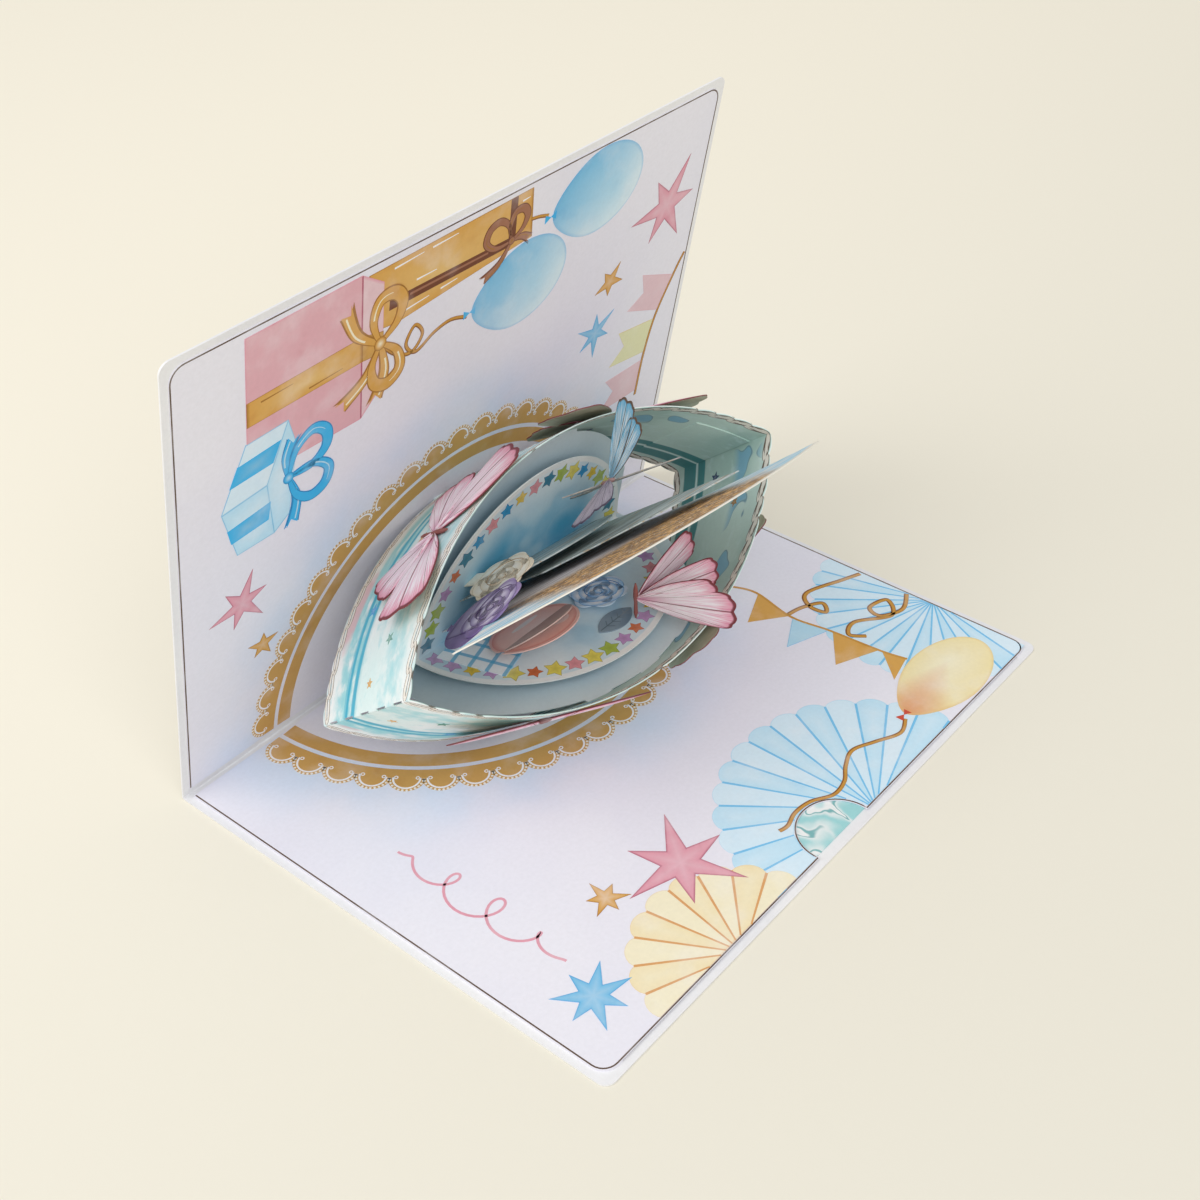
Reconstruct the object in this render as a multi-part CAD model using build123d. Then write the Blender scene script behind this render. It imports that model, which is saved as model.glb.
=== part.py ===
from build123d import *
import os
from math import copysign, cos, pi, radians, sin, sqrt, tan

# Pop-up card standing part open. X runs along the crease, +Z is up, and the base panel lies on Z = 0
# with its middle over the origin. Lengths are millimetres and angles are degrees.

# Cover
panel_width = 200.0
panel_depth = 150.0
open_angle = 78.0
cover_thickness = 0.5
crease_radius = 0.9
cover_corner = 3.0

# Liners, and the pocket under the base liner
liner_thickness = 0.3
liner_inset = 2.2
liner_crease_gap = 1.7
liner_corner = 4.5
pocket_gap = 0.45
glue_width = 6.0
notch_radius = 11.3
notch_inset = 1.3
note_clearance = 4.0
note_setback = 1.0
note_thickness = 0.35

# Side wall: a ring when the card lies flat, a lens when it is part open
ring_radius = 54.0
wall_height = 46.0
wall_thickness = 0.35
scallop_count = 25
scallop_depth = 1.0
wall_tab_length = 15.0
wall_tab_margin = 9.5
panel_tab_width = 16.0
panel_tab_depth = 10.0
perforation_count = 5
perforation_length = 4.5
perforation_pitch = 8.4

# Floor and star plate: levels are measured along the bisector from the panels
floor_level = 37.0
floor_thickness = 0.3
floor_half_length = 50.0
floor_tab_spacing = 18.0
floor_tab_width = 8.0
floor_tab_proud = 0.4
fold_margin = 2.0
plate_level = 44.5
plate_thickness = 0.4
plate_radius = 43.0

# Centre layers
sheet_thickness = 0.35
fit = 0.1
centre_yaw = 4.0
front_foot_half = 12.0
front_shoulder_half = 33.0
front_yaw = 5.0
front_left_wing_length = 70.0
front_left_wing_height = 107.0
front_right_wing_length = 65.5
front_right_wing_height = 112.0
front_crown_height = 126.0
front_waist_inset = 1.5
front_waist_lift = 15.0
middle_offset = 3.0
middle_left = -12.0
middle_right = 37.0
middle_left_height = 74.0
middle_right_height = 108.0
middle_bow = 3.0
back_offset = 6.0
back_half_length = 27.0
back_side_height = 64.0
back_crown_height = 77.0
slot_tab_width = 12.0
slot_tab_depth = 2.2

# Blue butterfly's stem
stem_offset = 19.0
stem_yaw = 13.7
stem_left = 6.4
stem_right = 38.1
stem_left_height = 74.5
stem_right_height = 90.5
stem_foot = 22.0
stem_foot_width = 8.0
stem_waist = 7.0

# Butterflies outside the ring
outer_butterfly_offset = 34.0
back_butterfly_height = 73.0
front_butterfly_height = 69.0
outer_butterfly_roll = 7.0
outer_fore_length = 31.0
outer_hind_length = 22.5
outer_fore_angle = 25.0
outer_hind_angle = -27.0
fore_width_share = 0.60
hind_width_share = 0.72
body_half_length = 7.5
body_half_width = 1.1

# Butterflies inside the ring: wings as (turn about the spine, lobes as (length, angle))
spine_width = 1.6
spine_root_share = 0.58
pink_butterfly_place = (9.0, 35.5)
pink_spine_height = 12.0
pink_wing_share = 0.42
pink_fore_length = 29.0
pink_hind_length = 25.0
pink_wings = [
    (4.0, [(pink_hind_length, 18.0)]), (30.0, [(pink_hind_length, 7.0)]),
    (69.0, [(pink_hind_length, 16.0), (pink_fore_length, 3.5)]),
]
blue_body_place = 16.7
blue_body_lift = 0.3
blue_spine_height = 6.0
blue_wing_share = 0.30
blue_fore_length = 24.0
blue_hind_length = 21.0
blue_wings = [
    (66.0, [(blue_fore_length, 38.0), (blue_hind_length, 54.0)]),
    (190.0, [(blue_fore_length, 18.0), (blue_hind_length, 36.0)]),
]

# Wing outline, as shares of its length and width
wing_shoulder = 0.84
wing_bulge = 0.44
wing_bulge_width = 0.80

# Flat and leaning die-cuts
purple_yaw = -16.0
purple_offset = 18.0
purple_balloon_place = (-43.9, 82.0)
purple_balloon_size = (10.5, 12.5)
purple_rose_place = (-41.9, 86.5)
purple_rose_radius = 10.5
cream_rose_place = (-22.6, 72.2, 9.2)
cream_rose_radius = 10.0
cream_rose_yaw = -12.0
cream_rose_lean = 10.0
cream_stalk_width = 5.0
cream_stalk_length = 20.0
blue_rose_place = (10.0, 13.2)
blue_rose_radius = 8.5
blue_rose_lean = 10.0
pink_balloon_place = (-16.0, 9.3)
pink_balloon_size = (13.5, 12.5)
pink_balloon_lean = 21.5
pink_slice_height = 11.0
pink_slice_inset = 1.0
pink_slice_foot_width = 10.0
leaf_place = (4.5, 31.8)
leaf_length = 14.0
leaf_width = 7.0
tag_corners = [(-38.0, 4.0), (-32.0, 24.0), (-19.5, 20.0), (-28.0, 2.5)]
foot_cut_share = 0.06
petal_count = 6
lobe_share = 0.42
disc_share = 0.80
knot_size = 2.4
knot_overlap = 0.7

# Directions and the inner crease line, where the two liner faces would meet
half = radians(open_angle / 2)
across = Vector(1, 0, 0)
rise = Vector(0, -cos(half), sin(half))
to_back = Vector(0, sin(half), cos(half))
back_up = Vector(0, -cos(2 * half), sin(2 * half))
back_in = Vector(0, -sin(2 * half), -cos(2 * half))
base_inner = cover_thickness + pocket_gap + liner_thickness
back_inner = cover_thickness + liner_thickness
outer_apex = Vector(0, panel_depth / 2 - crease_radius + crease_radius / tan(half), 0)
crease_setback = (back_inner + base_inner * cos(2 * half)) / sin(2 * half)
crease = Vector(0, outer_apex.Y - crease_setback, base_inner)
panel_length = panel_depth / 2 + outer_apex.Y
back_reach = panel_length + (outer_apex - crease).dot(back_up)
base_reach = panel_depth / 2 + crease.Y

# Planes: the middle plane between the panels, and the back liner's face, with y away from the crease
middle_plane = Plane(origin=crease, x_dir=across, z_dir=-to_back)
back_plane = Plane(origin=crease, x_dir=across, z_dir=back_in)

# The lens: half angle of each arc, from the ring's fixed length between its two tips
def wall_half_angle():
    low = 0.01
    high = pi / 2
    for _ in range(60):
        middle = (low + high) / 2
        if (1 - cos(middle)) / middle < 2 * sin(half) / pi:
            low = middle
        else:
            high = middle
    return middle


wall_angle = wall_half_angle()
wall_radius = pi * ring_radius / (2 * wall_angle)
wall_sag = ring_radius * sin(half)
wall_foot = ring_radius * cos(half)
wall_top = wall_foot + wall_height
arc_centre = wall_radius - wall_sag


def on_front(shape):
    """The same shape on the base panel's side."""
    return mirror(shape, about=middle_plane)


def layer(level):
    """Face parallel to the back panel, lifted along the bisector."""
    return Plane(origin=crease + rise * level, x_dir=across, z_dir=back_in)


def wall_width(x, radius):
    """Distance of an arc of the wall from the middle plane at x."""
    return sqrt(radius**2 - x**2) - arc_centre


def lens(radius):
    """Outline between two equal arcs that face each other."""
    tip = sqrt(radius**2 - arc_centre**2)
    sag = radius - arc_centre
    upper = ThreePointArc((-tip, 0), (0, sag), (tip, 0))
    lower = ThreePointArc((tip, 0), (0, -sag), (-tip, 0))
    return make_face([upper, lower])


def half_disc(radius):
    """Half of a disc, reaching a little past its diameter so that the fold can trim it."""
    depth = radius + fold_margin
    return Circle(radius) & Pos(0, radius - depth / 2) * Rectangle(2 * radius, depth)


def v_sheet(outline, level, thickness):
    """Sheet with a V fold on the middle plane, one half parallel to each panel."""
    sheet = extrude(layer(level) * outline, thickness)
    far_half = split(sheet, bisect_by=middle_plane, keep=Keep.BOTTOM)
    return far_half + on_front(far_half)


def plate_rest(w):
    """Height along the bisector of the plate's upper face at distance w from the middle plane."""
    return plate_level + plate_thickness / sin(half) + w / tan(half)


def panel_frame(offset, yaw):
    """Upright plane along the bisector, turned about it."""
    turn = radians(yaw)
    x_dir = across * cos(turn) - to_back * sin(turn)
    return Plane(origin=crease + to_back * offset, x_dir=x_dir, z_dir=x_dir.cross(rise))


def turned_frame(place, yaw, lean):
    """Plane through a place given as (across, up the bisector, to the back), turned and leaning."""
    x, height, w = place
    turn, tilt = radians(yaw), radians(lean)
    x_dir = across * cos(turn) - to_back * sin(turn)
    out = to_back * cos(turn) + across * sin(turn)
    y_dir = rise * cos(tilt) - out * sin(tilt)
    origin = crease + across * x + rise * height + to_back * w
    return Plane(origin=origin, x_dir=x_dir, z_dir=x_dir.cross(y_dir))


def card(frame, outline):
    """Die-cut sheet centred on its plane."""
    return extrude(frame * outline, sheet_thickness / 2, both=True)


def slit(frame, x, low, high, width):
    """Cutter a little larger than a tab of that width."""
    height = high - low + 2 * fit
    face = Pos(x, (low + high) / 2) * Rectangle(width + 2 * fit, height)
    return extrude(frame * face, sheet_thickness / 2 + fit, both=True)


def lean_frame(place, lean):
    """Plane that leans up from the plate's far half, with its foot on the plate."""
    seat = layer(plate_level)
    lift = plate_thickness + fit / 2 + sheet_thickness / 2 * cos(radians(lean))
    foot = seat.from_local_coords(Vector(place[0], place[1], lift))
    y_dir = back_up * cos(radians(lean)) + back_in * sin(radians(lean))
    return Plane(origin=foot, x_dir=across, z_dir=across.cross(y_dir))


def flat_on_plate(outline):
    """Sheet glued flat on the plate's far half."""
    return extrude(layer(plate_level).offset(plate_thickness) * outline, sheet_thickness)


def petal(length, width, angle):
    """Wing: narrow at its root, round at its end."""
    shoulder = wing_shoulder * length
    bulge = wing_bulge * length
    side = width / 2
    upper = ThreePointArc((0, 0), (bulge, wing_bulge_width * side), (shoulder, side))
    end = ThreePointArc((shoulder, side), (length, 0), (shoulder, -side))
    lower = ThreePointArc((shoulder, -side), (bulge, -wing_bulge_width * side), (0, 0))
    return Rot(0, 0, angle) * make_face([upper, end, lower])


def rosette(radius):
    """Flower outline with round petals."""
    lobe = lobe_share * radius
    lobes = [spot * Circle(lobe) for spot in PolarLocations(radius - lobe, petal_count)]
    return Circle(disc_share * radius) + lobes


def balloon(half_width, half_height):
    """Balloon outline with its knot below."""
    tip = knot_overlap - half_height
    foot = tip - knot_size
    knot = Polyline((0, tip), (-knot_size / 2, foot), (knot_size / 2, foot), close=True)
    return Ellipse(half_width, half_height) + make_face(knot)


# Cover: one sheet bent at the crease
def make_cover():
    back_top = outer_apex + back_up * panel_length
    back_top_inner = back_top + back_in * cover_thickness
    inner_shift = cover_thickness * (1 + cos(2 * half)) / sin(2 * half)
    inner_corner = (outer_apex.Y - inner_shift, cover_thickness)
    outline = Polyline(
        (-panel_depth / 2, 0), (outer_apex.Y, 0), (back_top.Y, back_top.Z),
        (back_top_inner.Y, back_top_inner.Z), inner_corner, (-panel_depth / 2, cover_thickness), close=True,
    )
    profile = make_face(outline)
    profile = fillet(profile.vertices().sort_by(Axis.X)[-1], crease_radius)
    profile = fillet(profile.vertices().sort_by_distance(inner_corner)[0], crease_radius - cover_thickness)
    sheet = extrude(Plane.YZ * profile, panel_width / 2, both=True)
    corners = sheet.edges().filter_by(Axis.Z) + sheet.edges().filter_by(Axis((0, 0, 0), tuple(back_in)))
    return fillet(corners, cover_corner)


# Liners: sheets inset from the cover's edge and stopping short of the crease
def liner_outline(reach):
    depth = reach - liner_inset - liner_crease_gap
    width = panel_width - 2 * liner_inset
    sheet = Pos(0, liner_crease_gap + depth / 2) * Rectangle(width, depth)
    return fillet(sheet.vertices().sort_by(Axis.Y)[2:], liner_corner)


def make_back_liner():
    return extrude(back_plane * liner_outline(back_reach), -liner_thickness)


def make_base_liner():
    front = base_reach - liner_inset
    notch = Pos(0, front - notch_inset) * Circle(notch_radius)
    sheet = extrude(back_plane * (liner_outline(base_reach) - notch), -liner_thickness)
    hollow_width = panel_width - 2 * (liner_inset + glue_width)
    hollow_start = liner_crease_gap + glue_width
    hollow = Pos(0, (hollow_start + base_reach) / 2) * Rectangle(hollow_width, base_reach - hollow_start)
    glue_face = back_plane.offset(-liner_thickness)
    glue = extrude(glue_face * (liner_outline(base_reach) - hollow), -pocket_gap)
    return on_front(sheet + glue)


def make_note_card():
    front = base_reach - liner_inset - note_setback
    start = liner_crease_gap + glue_width + note_clearance
    width = panel_width - 2 * (liner_inset + glue_width + note_clearance)
    outline = Pos(0, (start + front) / 2) * Rectangle(width, front - start)
    seat = back_plane.offset(-liner_thickness - pocket_gap)
    return on_front(extrude(seat * outline, note_thickness))


# Side wall: two arcs of one strip, with scalloped rims, slots, a perforated fold and glue tabs
def scalloped_outline():
    step = 2 * wall_angle / scallop_count
    places = [wall_radius * sin(i * step / 2 - wall_angle) for i in range(2 * scallop_count + 1)]
    edges = []
    for i in range(0, 2 * scallop_count, 2):
        left, hill, right = places[i:i + 3]
        top = wall_top - scallop_depth
        bottom = wall_foot + scallop_depth
        edges.append(ThreePointArc((left, top), (hill, wall_top), (right, top)))
        edges.append(ThreePointArc((left, bottom), (hill, wall_foot), (right, bottom)))
    for tip in (places[0], places[-1]):
        edges.append(Line((tip, wall_foot + scallop_depth), (tip, wall_top - scallop_depth)))
    return make_face(edges)


def floor_tab_places():
    return (-floor_tab_spacing, 0, floor_tab_spacing)


def floor_slot(x):
    reach = wall_width(x, wall_radius) / sin(half) + floor_tab_proud
    face = Pos(x, reach / 2) * Rectangle(floor_tab_width + 2 * fit, reach + 2 * fit)
    return extrude(layer(floor_level).offset(-fit) * face, floor_thickness + 2 * fit)


def wall_seam_tab():
    frame = Plane(origin=crease + rise * (wall_foot + wall_tab_margin), x_dir=across, z_dir=rise)
    inner_tip = sqrt((wall_radius - wall_thickness)**2 - arc_centre**2)
    band = lens(wall_radius - wall_thickness / 2) - lens(wall_radius - 2 * wall_thickness)
    window = Pos(inner_tip - wall_tab_length / 2, wall_sag / 2) * Rectangle(wall_tab_length, wall_sag)
    return extrude(frame * (band & window), wall_height - 2 * wall_tab_margin)


def make_side_wall():
    frame = Plane(origin=crease + rise * wall_foot, x_dir=across, z_dir=rise)
    ring = extrude(frame * (lens(wall_radius) - lens(wall_radius - wall_thickness)), wall_height)
    wall = ring & extrude(middle_plane * scalloped_outline(), wall_sag, both=True)
    panel_tab = Pos(0, ring_radius - panel_tab_depth / 2) * Rectangle(panel_tab_width, panel_tab_depth)
    back_tab = extrude(back_plane * panel_tab, wall_thickness)
    wall = wall + wall_seam_tab() + back_tab + on_front(back_tab)
    for x in floor_tab_places():
        wall = wall - floor_slot(x) - on_front(floor_slot(x))
    tip = wall_radius * sin(wall_angle)
    for i in range(perforation_count):
        height = wall_foot + wall_height / 2 + (i - (perforation_count - 1) / 2) * perforation_pitch
        hole = Pos(-tip, height) * Rectangle(4 * wall_thickness, perforation_length)
        wall = wall - extrude(middle_plane * hole, wall_thickness, both=True)
    return wall


# Floor: a disc with cut ends, creased on its diameter and tabbed into the wall
def make_floor():
    inner_radius = ring_radius - wall_thickness / sin(half) - fit
    outline = half_disc(inner_radius) & Rectangle(2 * floor_half_length, 2 * ring_radius)
    for x in floor_tab_places():
        reach = wall_width(x, wall_radius) / sin(half) + floor_tab_proud
        root = sqrt(inner_radius**2 - x**2) - floor_tab_width
        outline += Pos(x, (root + reach) / 2) * Rectangle(floor_tab_width, reach - root)
    return v_sheet(outline, floor_level, floor_thickness)


# Star plate: a disc creased on its diameter, with slits for what stands on it
def make_plate():
    plate = v_sheet(half_disc(plate_radius), plate_level, plate_thickness)
    foot_slit = slit(front_frame, 0, front_foot_low, front_shoulder_low, 2 * front_foot_half)
    plate = plate - foot_slit
    for frame, x, top, width in slot_tabs.values():
        plate = plate - slit(frame, x, top - slot_tab_depth, top, width)
    return plate


# Centre layers: upright panels whose tabs pass through the plate
front_frame = panel_frame(0, front_yaw)
middle_frame = panel_frame(middle_offset, centre_yaw)
back_frame = panel_frame(back_offset, centre_yaw)
stem_frame = panel_frame(stem_offset, stem_yaw)
front_foot_spread = front_foot_half * sin(radians(front_yaw)) + sheet_thickness / 2
front_foot_low = floor_level + floor_thickness / sin(half) + front_foot_spread / tan(half) + fit
front_shoulder_spread = front_shoulder_half * sin(radians(front_yaw)) + sheet_thickness / 2
front_shoulder_low = plate_rest(front_shoulder_spread) + fit


def seat_height(offset, yaw, s):
    """Lowest height at which a panel's lower edge clears the plate at s along it."""
    w = offset - s * sin(radians(yaw)) + sheet_thickness / 2
    return plate_rest(w) + fit


middle_tab_x = (middle_left + middle_right) / 2
middle_tab_top = seat_height(middle_offset, centre_yaw, middle_tab_x - slot_tab_width / 2)
back_tab_top = seat_height(back_offset, centre_yaw, -slot_tab_width / 2)
stem_tab_top = seat_height(stem_offset, stem_yaw, stem_foot - stem_foot_width / 2)
slot_tabs = {
    "middle": (middle_frame, middle_tab_x, middle_tab_top, slot_tab_width),
    "back": (back_frame, 0, back_tab_top, slot_tab_width),
    "stem": (stem_frame, stem_foot, stem_tab_top, stem_foot_width),
}


def slot_tab(name):
    """Tab below a panel, through its slit in the plate."""
    _, x, top, width = slot_tabs[name]
    return Pos(x, top - slot_tab_depth / 2) * Rectangle(width, slot_tab_depth)


def front_waist(wing_length, wing_height):
    """Distance from the middle and height where a wing's lower edge is waisted."""
    reach = (front_shoulder_half + wing_length) / 2 - front_waist_inset
    return reach, (front_shoulder_low + wing_height) / 2 + front_waist_lift


def front_outline():
    left_low = (-front_shoulder_half, front_shoulder_low)
    right_low = (front_shoulder_half, front_shoulder_low)
    left_wing = (-front_left_wing_length, front_left_wing_height)
    right_wing = (front_right_wing_length, front_right_wing_height)
    left_reach, left_height = front_waist(front_left_wing_length, front_left_wing_height)
    return make_face([
        Line(left_low, right_low),
        ThreePointArc(right_low, front_waist(front_right_wing_length, front_right_wing_height), right_wing),
        ThreePointArc(right_wing, (0, front_crown_height), left_wing),
        ThreePointArc(left_wing, (-left_reach, left_height), left_low),
    ])


def make_front_panel():
    body = front_outline()
    foot_height = front_shoulder_low - front_foot_low
    foot = Pos(0, front_foot_low + foot_height / 2) * Rectangle(2 * front_foot_half, foot_height)
    return card(front_frame, body + foot)


def make_middle_panel():
    left_low = (middle_left, seat_height(middle_offset, centre_yaw, middle_left))
    right_low = (middle_right, seat_height(middle_offset, centre_yaw, middle_right))
    left_top = (middle_left, middle_left_height)
    right_top = (middle_right, middle_right_height)
    crown = ((middle_left + middle_right) / 2, (middle_left_height + middle_right_height) / 2 + middle_bow)
    body = make_face([
        Line(left_low, right_low), Line(right_low, right_top),
        ThreePointArc(right_top, crown, left_top), Line(left_top, left_low),
    ])
    return card(middle_frame, body + slot_tab("middle"))


def make_back_panel():
    left_low = (-back_half_length, seat_height(back_offset, centre_yaw, -back_half_length))
    right_low = (back_half_length, seat_height(back_offset, centre_yaw, back_half_length))
    left_top = (-back_half_length, back_side_height)
    right_top = (back_half_length, back_side_height)
    body = make_face([
        Line(left_low, right_low), Line(right_low, right_top),
        ThreePointArc(right_top, (0, back_crown_height), left_top), Line(left_top, left_low),
    ])
    return card(back_frame, body + slot_tab("back"))


def stem_crest(s):
    """Height of the stem's upper edge at s along it."""
    share = (s - stem_left) / (stem_right - stem_left)
    return stem_left_height + share * (stem_right_height - stem_left_height)


def make_stem():
    left = (stem_left, stem_left_height)
    right = (stem_right, stem_right_height)
    middle_x = (stem_left + stem_right) / 2
    middle_height = stem_crest(middle_x)
    lower_edge = ThreePointArc(right, (middle_x, middle_height - stem_waist), left)
    blade = make_face([Line(left, right), lower_edge])
    foot_high = middle_height - stem_waist / 2
    foot_middle = (stem_tab_top + foot_high) / 2
    foot = Pos(stem_foot, foot_middle) * Rectangle(stem_foot_width / 2, foot_high - stem_tab_top)
    return card(stem_frame, blade + foot + slot_tab("stem"))


# Butterflies outside the ring: flat, touching the curved wall along their bodies
def butterfly_outline():
    fore = petal(outer_fore_length, fore_width_share * outer_fore_length, outer_fore_angle)
    hind = petal(outer_hind_length, hind_width_share * outer_hind_length, outer_hind_angle)
    right_side = fore + hind
    return Ellipse(body_half_width, body_half_length) + right_side + mirror(right_side, about=Plane.YZ)


def outer_butterfly(x, height):
    roll = copysign(outer_butterfly_roll, x)
    slope = x / wall_radius
    level = sqrt(1 - slope**2)
    outward = across * slope + to_back * level
    along = to_back * slope - across * level
    seat = crease + rise * height + across * x + to_back * wall_width(x, wall_radius)
    frame = Plane(origin=seat + outward * fit / 2, x_dir=along, z_dir=outward)
    return extrude(frame * Rot(0, 0, roll) * butterfly_outline(), sheet_thickness)


# Butterflies inside the ring: two wings that meet at a folded spine
def folded_butterfly(foot, side_dir, spine_dir, spine_height, wings, width_share):
    root = Pos(0, spine_root_share * spine_height)
    spine = Pos(spine_width / 2, spine_height / 2) * Rectangle(spine_width, spine_height)
    cards = []
    for turn, lobes in wings:
        outline = spine
        for length, angle in lobes:
            outline += root * petal(length, width_share * length, angle)
        x_dir = across * cos(radians(turn)) + side_dir * sin(radians(turn))
        frame = Plane(origin=foot, x_dir=x_dir, z_dir=x_dir.cross(spine_dir))
        cards.append(card(frame, outline))
    return cards[0] + cards[1:]


def make_pink_butterfly():
    """It stands on the plate's near half."""
    place = Vector(*pink_butterfly_place, plate_thickness + fit / 2)
    foot = layer(plate_level).from_local_coords(place)
    pose = (foot, back_up, back_in, pink_spine_height)
    return on_front(folded_butterfly(*pose, pink_wings, pink_wing_share))


def make_blue_butterfly():
    """It stands on the stem's upper edge."""
    place = Vector(blue_body_place, stem_crest(blue_body_place) + blue_body_lift, 0)
    foot = stem_frame.from_local_coords(place)
    pose = (foot, to_back, rise, blue_spine_height)
    return folded_butterfly(*pose, blue_wings, blue_wing_share)


# Balloon and rose that cross the front panel's left wing, slotted where the wing passes
def wing_slot():
    return extrude(front_frame * front_outline(), sheet_thickness / 2 + fit, both=True)


def make_purple_balloon():
    frame = panel_frame(purple_offset, purple_yaw).offset(sheet_thickness + fit)
    return card(frame, Pos(*purple_balloon_place) * balloon(*purple_balloon_size)) - wing_slot()


def make_purple_rose():
    frame = panel_frame(purple_offset, purple_yaw)
    return card(frame, Pos(*purple_rose_place) * rosette(purple_rose_radius)) - wing_slot()


# Die-cuts on the plate
def standing_flower(place, radius, lean):
    """Flower that leans up from the plate on a flat foot."""
    foot_cut = Pos(0, radius) * Rectangle(2 * radius, 2 * radius)
    flower = Pos(0, (1 - foot_cut_share) * radius) * rosette(radius)
    return card(lean_frame(place, lean), flower & foot_cut)


def make_cream_rose():
    """It stands on a stalk, cut off where it meets the plate's far half."""
    stalk = Pos(0, -cream_stalk_length / 2) * Rectangle(cream_stalk_width, cream_stalk_length)
    frame = turned_frame(cream_rose_place, cream_rose_yaw, cream_rose_lean)
    flower = card(frame, rosette(cream_rose_radius) + stalk)
    above = layer(plate_level).offset(plate_thickness + fit / 2) * Rectangle(panel_width, panel_width)
    return flower & extrude(above, panel_width)


def pink_frames():
    """Planes of the balloon's two slices, both through the balloon's middle."""
    frame = lean_frame(pink_balloon_place, pink_balloon_lean)
    middle = frame.from_local_coords(Vector(0, (1 - foot_cut_share) * pink_balloon_size[1], 0))
    upright = Plane(origin=middle, x_dir=across, z_dir=across.cross(rise))
    return Plane(origin=middle, x_dir=across, z_dir=frame.z_dir), upright


def half_slot(frame, side):
    """Cutter for the slot on one side of a slice, where the other slice passes."""
    half_width, half_height = pink_balloon_size
    face = Pos(side * half_width / 2, 0) * Rectangle(half_width, half_height)
    return extrude(frame * face, sheet_thickness / 2 + fit, both=True)


def make_pink_balloon():
    frame, upright = pink_frames()
    half_width, half_height = pink_balloon_size
    foot_cut = Pos(0, foot_cut_share * half_height) * Rectangle(2 * half_width, 2 * half_height)
    disc = card(frame, Ellipse(half_width, half_height) & foot_cut)
    return on_front(disc - half_slot(upright, -1))


def make_pink_slice():
    frame, upright = pink_frames()
    half_width, half_height = pink_balloon_size
    upper_half = Pos(0, pink_slice_height / 2) * Rectangle(2 * half_width, pink_slice_height)
    above = Ellipse(half_width - pink_slice_inset, pink_slice_height) & upper_half
    middle_lift = (1 - foot_cut_share) * half_height * sin(radians(pink_balloon_lean))
    drop = middle_lift / sin(half) - fit
    below = Pos(0, -drop / 2) * Rectangle(pink_slice_foot_width, drop)
    return on_front(card(upright, above + below) - half_slot(frame, 1))


def make_leaf():
    left = (-leaf_length / 2, 0)
    right = (leaf_length / 2, 0)
    upper = ThreePointArc(left, (0, leaf_width / 2), right)
    lower = ThreePointArc(right, (0, -leaf_width / 2), left)
    return on_front(flat_on_plate(Pos(*leaf_place) * make_face([upper, lower])))


def make_tag():
    return on_front(flat_on_plate(make_face(Polyline(*tag_corners, close=True))))


pieces = {
    "cover": make_cover(),
    "back_liner": make_back_liner(),
    "base_liner": make_base_liner(),
    "note_card": make_note_card(),
    "side_wall": make_side_wall(),
    "floor_sheet": make_floor(),
    "star_plate": make_plate(),
    "front_panel": make_front_panel(),
    "middle_panel": make_middle_panel(),
    "back_panel": make_back_panel(),
    "butterfly_stem": make_stem(),
    "blue_butterfly": make_blue_butterfly(),
    "pink_butterfly": make_pink_butterfly(),
    "back_left_butterfly": outer_butterfly(-outer_butterfly_offset, back_butterfly_height),
    "back_right_butterfly": outer_butterfly(outer_butterfly_offset, back_butterfly_height),
    "front_left_butterfly": on_front(outer_butterfly(-outer_butterfly_offset, front_butterfly_height)),
    "front_right_butterfly": on_front(outer_butterfly(outer_butterfly_offset, front_butterfly_height)),
    "purple_balloon": make_purple_balloon(),
    "purple_rose": make_purple_rose(),
    "cream_rose": make_cream_rose(),
    "blue_rose": on_front(standing_flower(blue_rose_place, blue_rose_radius, blue_rose_lean)),
    "pink_balloon": make_pink_balloon(),
    "pink_balloon_slice": make_pink_slice(),
    "leaf": make_leaf(),
    "gingham_tag": make_tag(),
}

os.makedirs("parts", exist_ok=True)
for name, shape in pieces.items():
    export_step(shape, f"parts/{name}.step")
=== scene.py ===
"""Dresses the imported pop-up card: print, paper finishes, wings, floor, light and camera."""

from __future__ import annotations

import logging
from dataclasses import dataclass, field
from enum import Enum
from math import asin, copysign, cos, degrees, hypot, pi, radians, sin, sqrt
from typing import Callable, Sequence

import bmesh
import bpy
from mathutils import Matrix, Vector
from mathutils.geometry import tessellate_polygon

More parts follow.
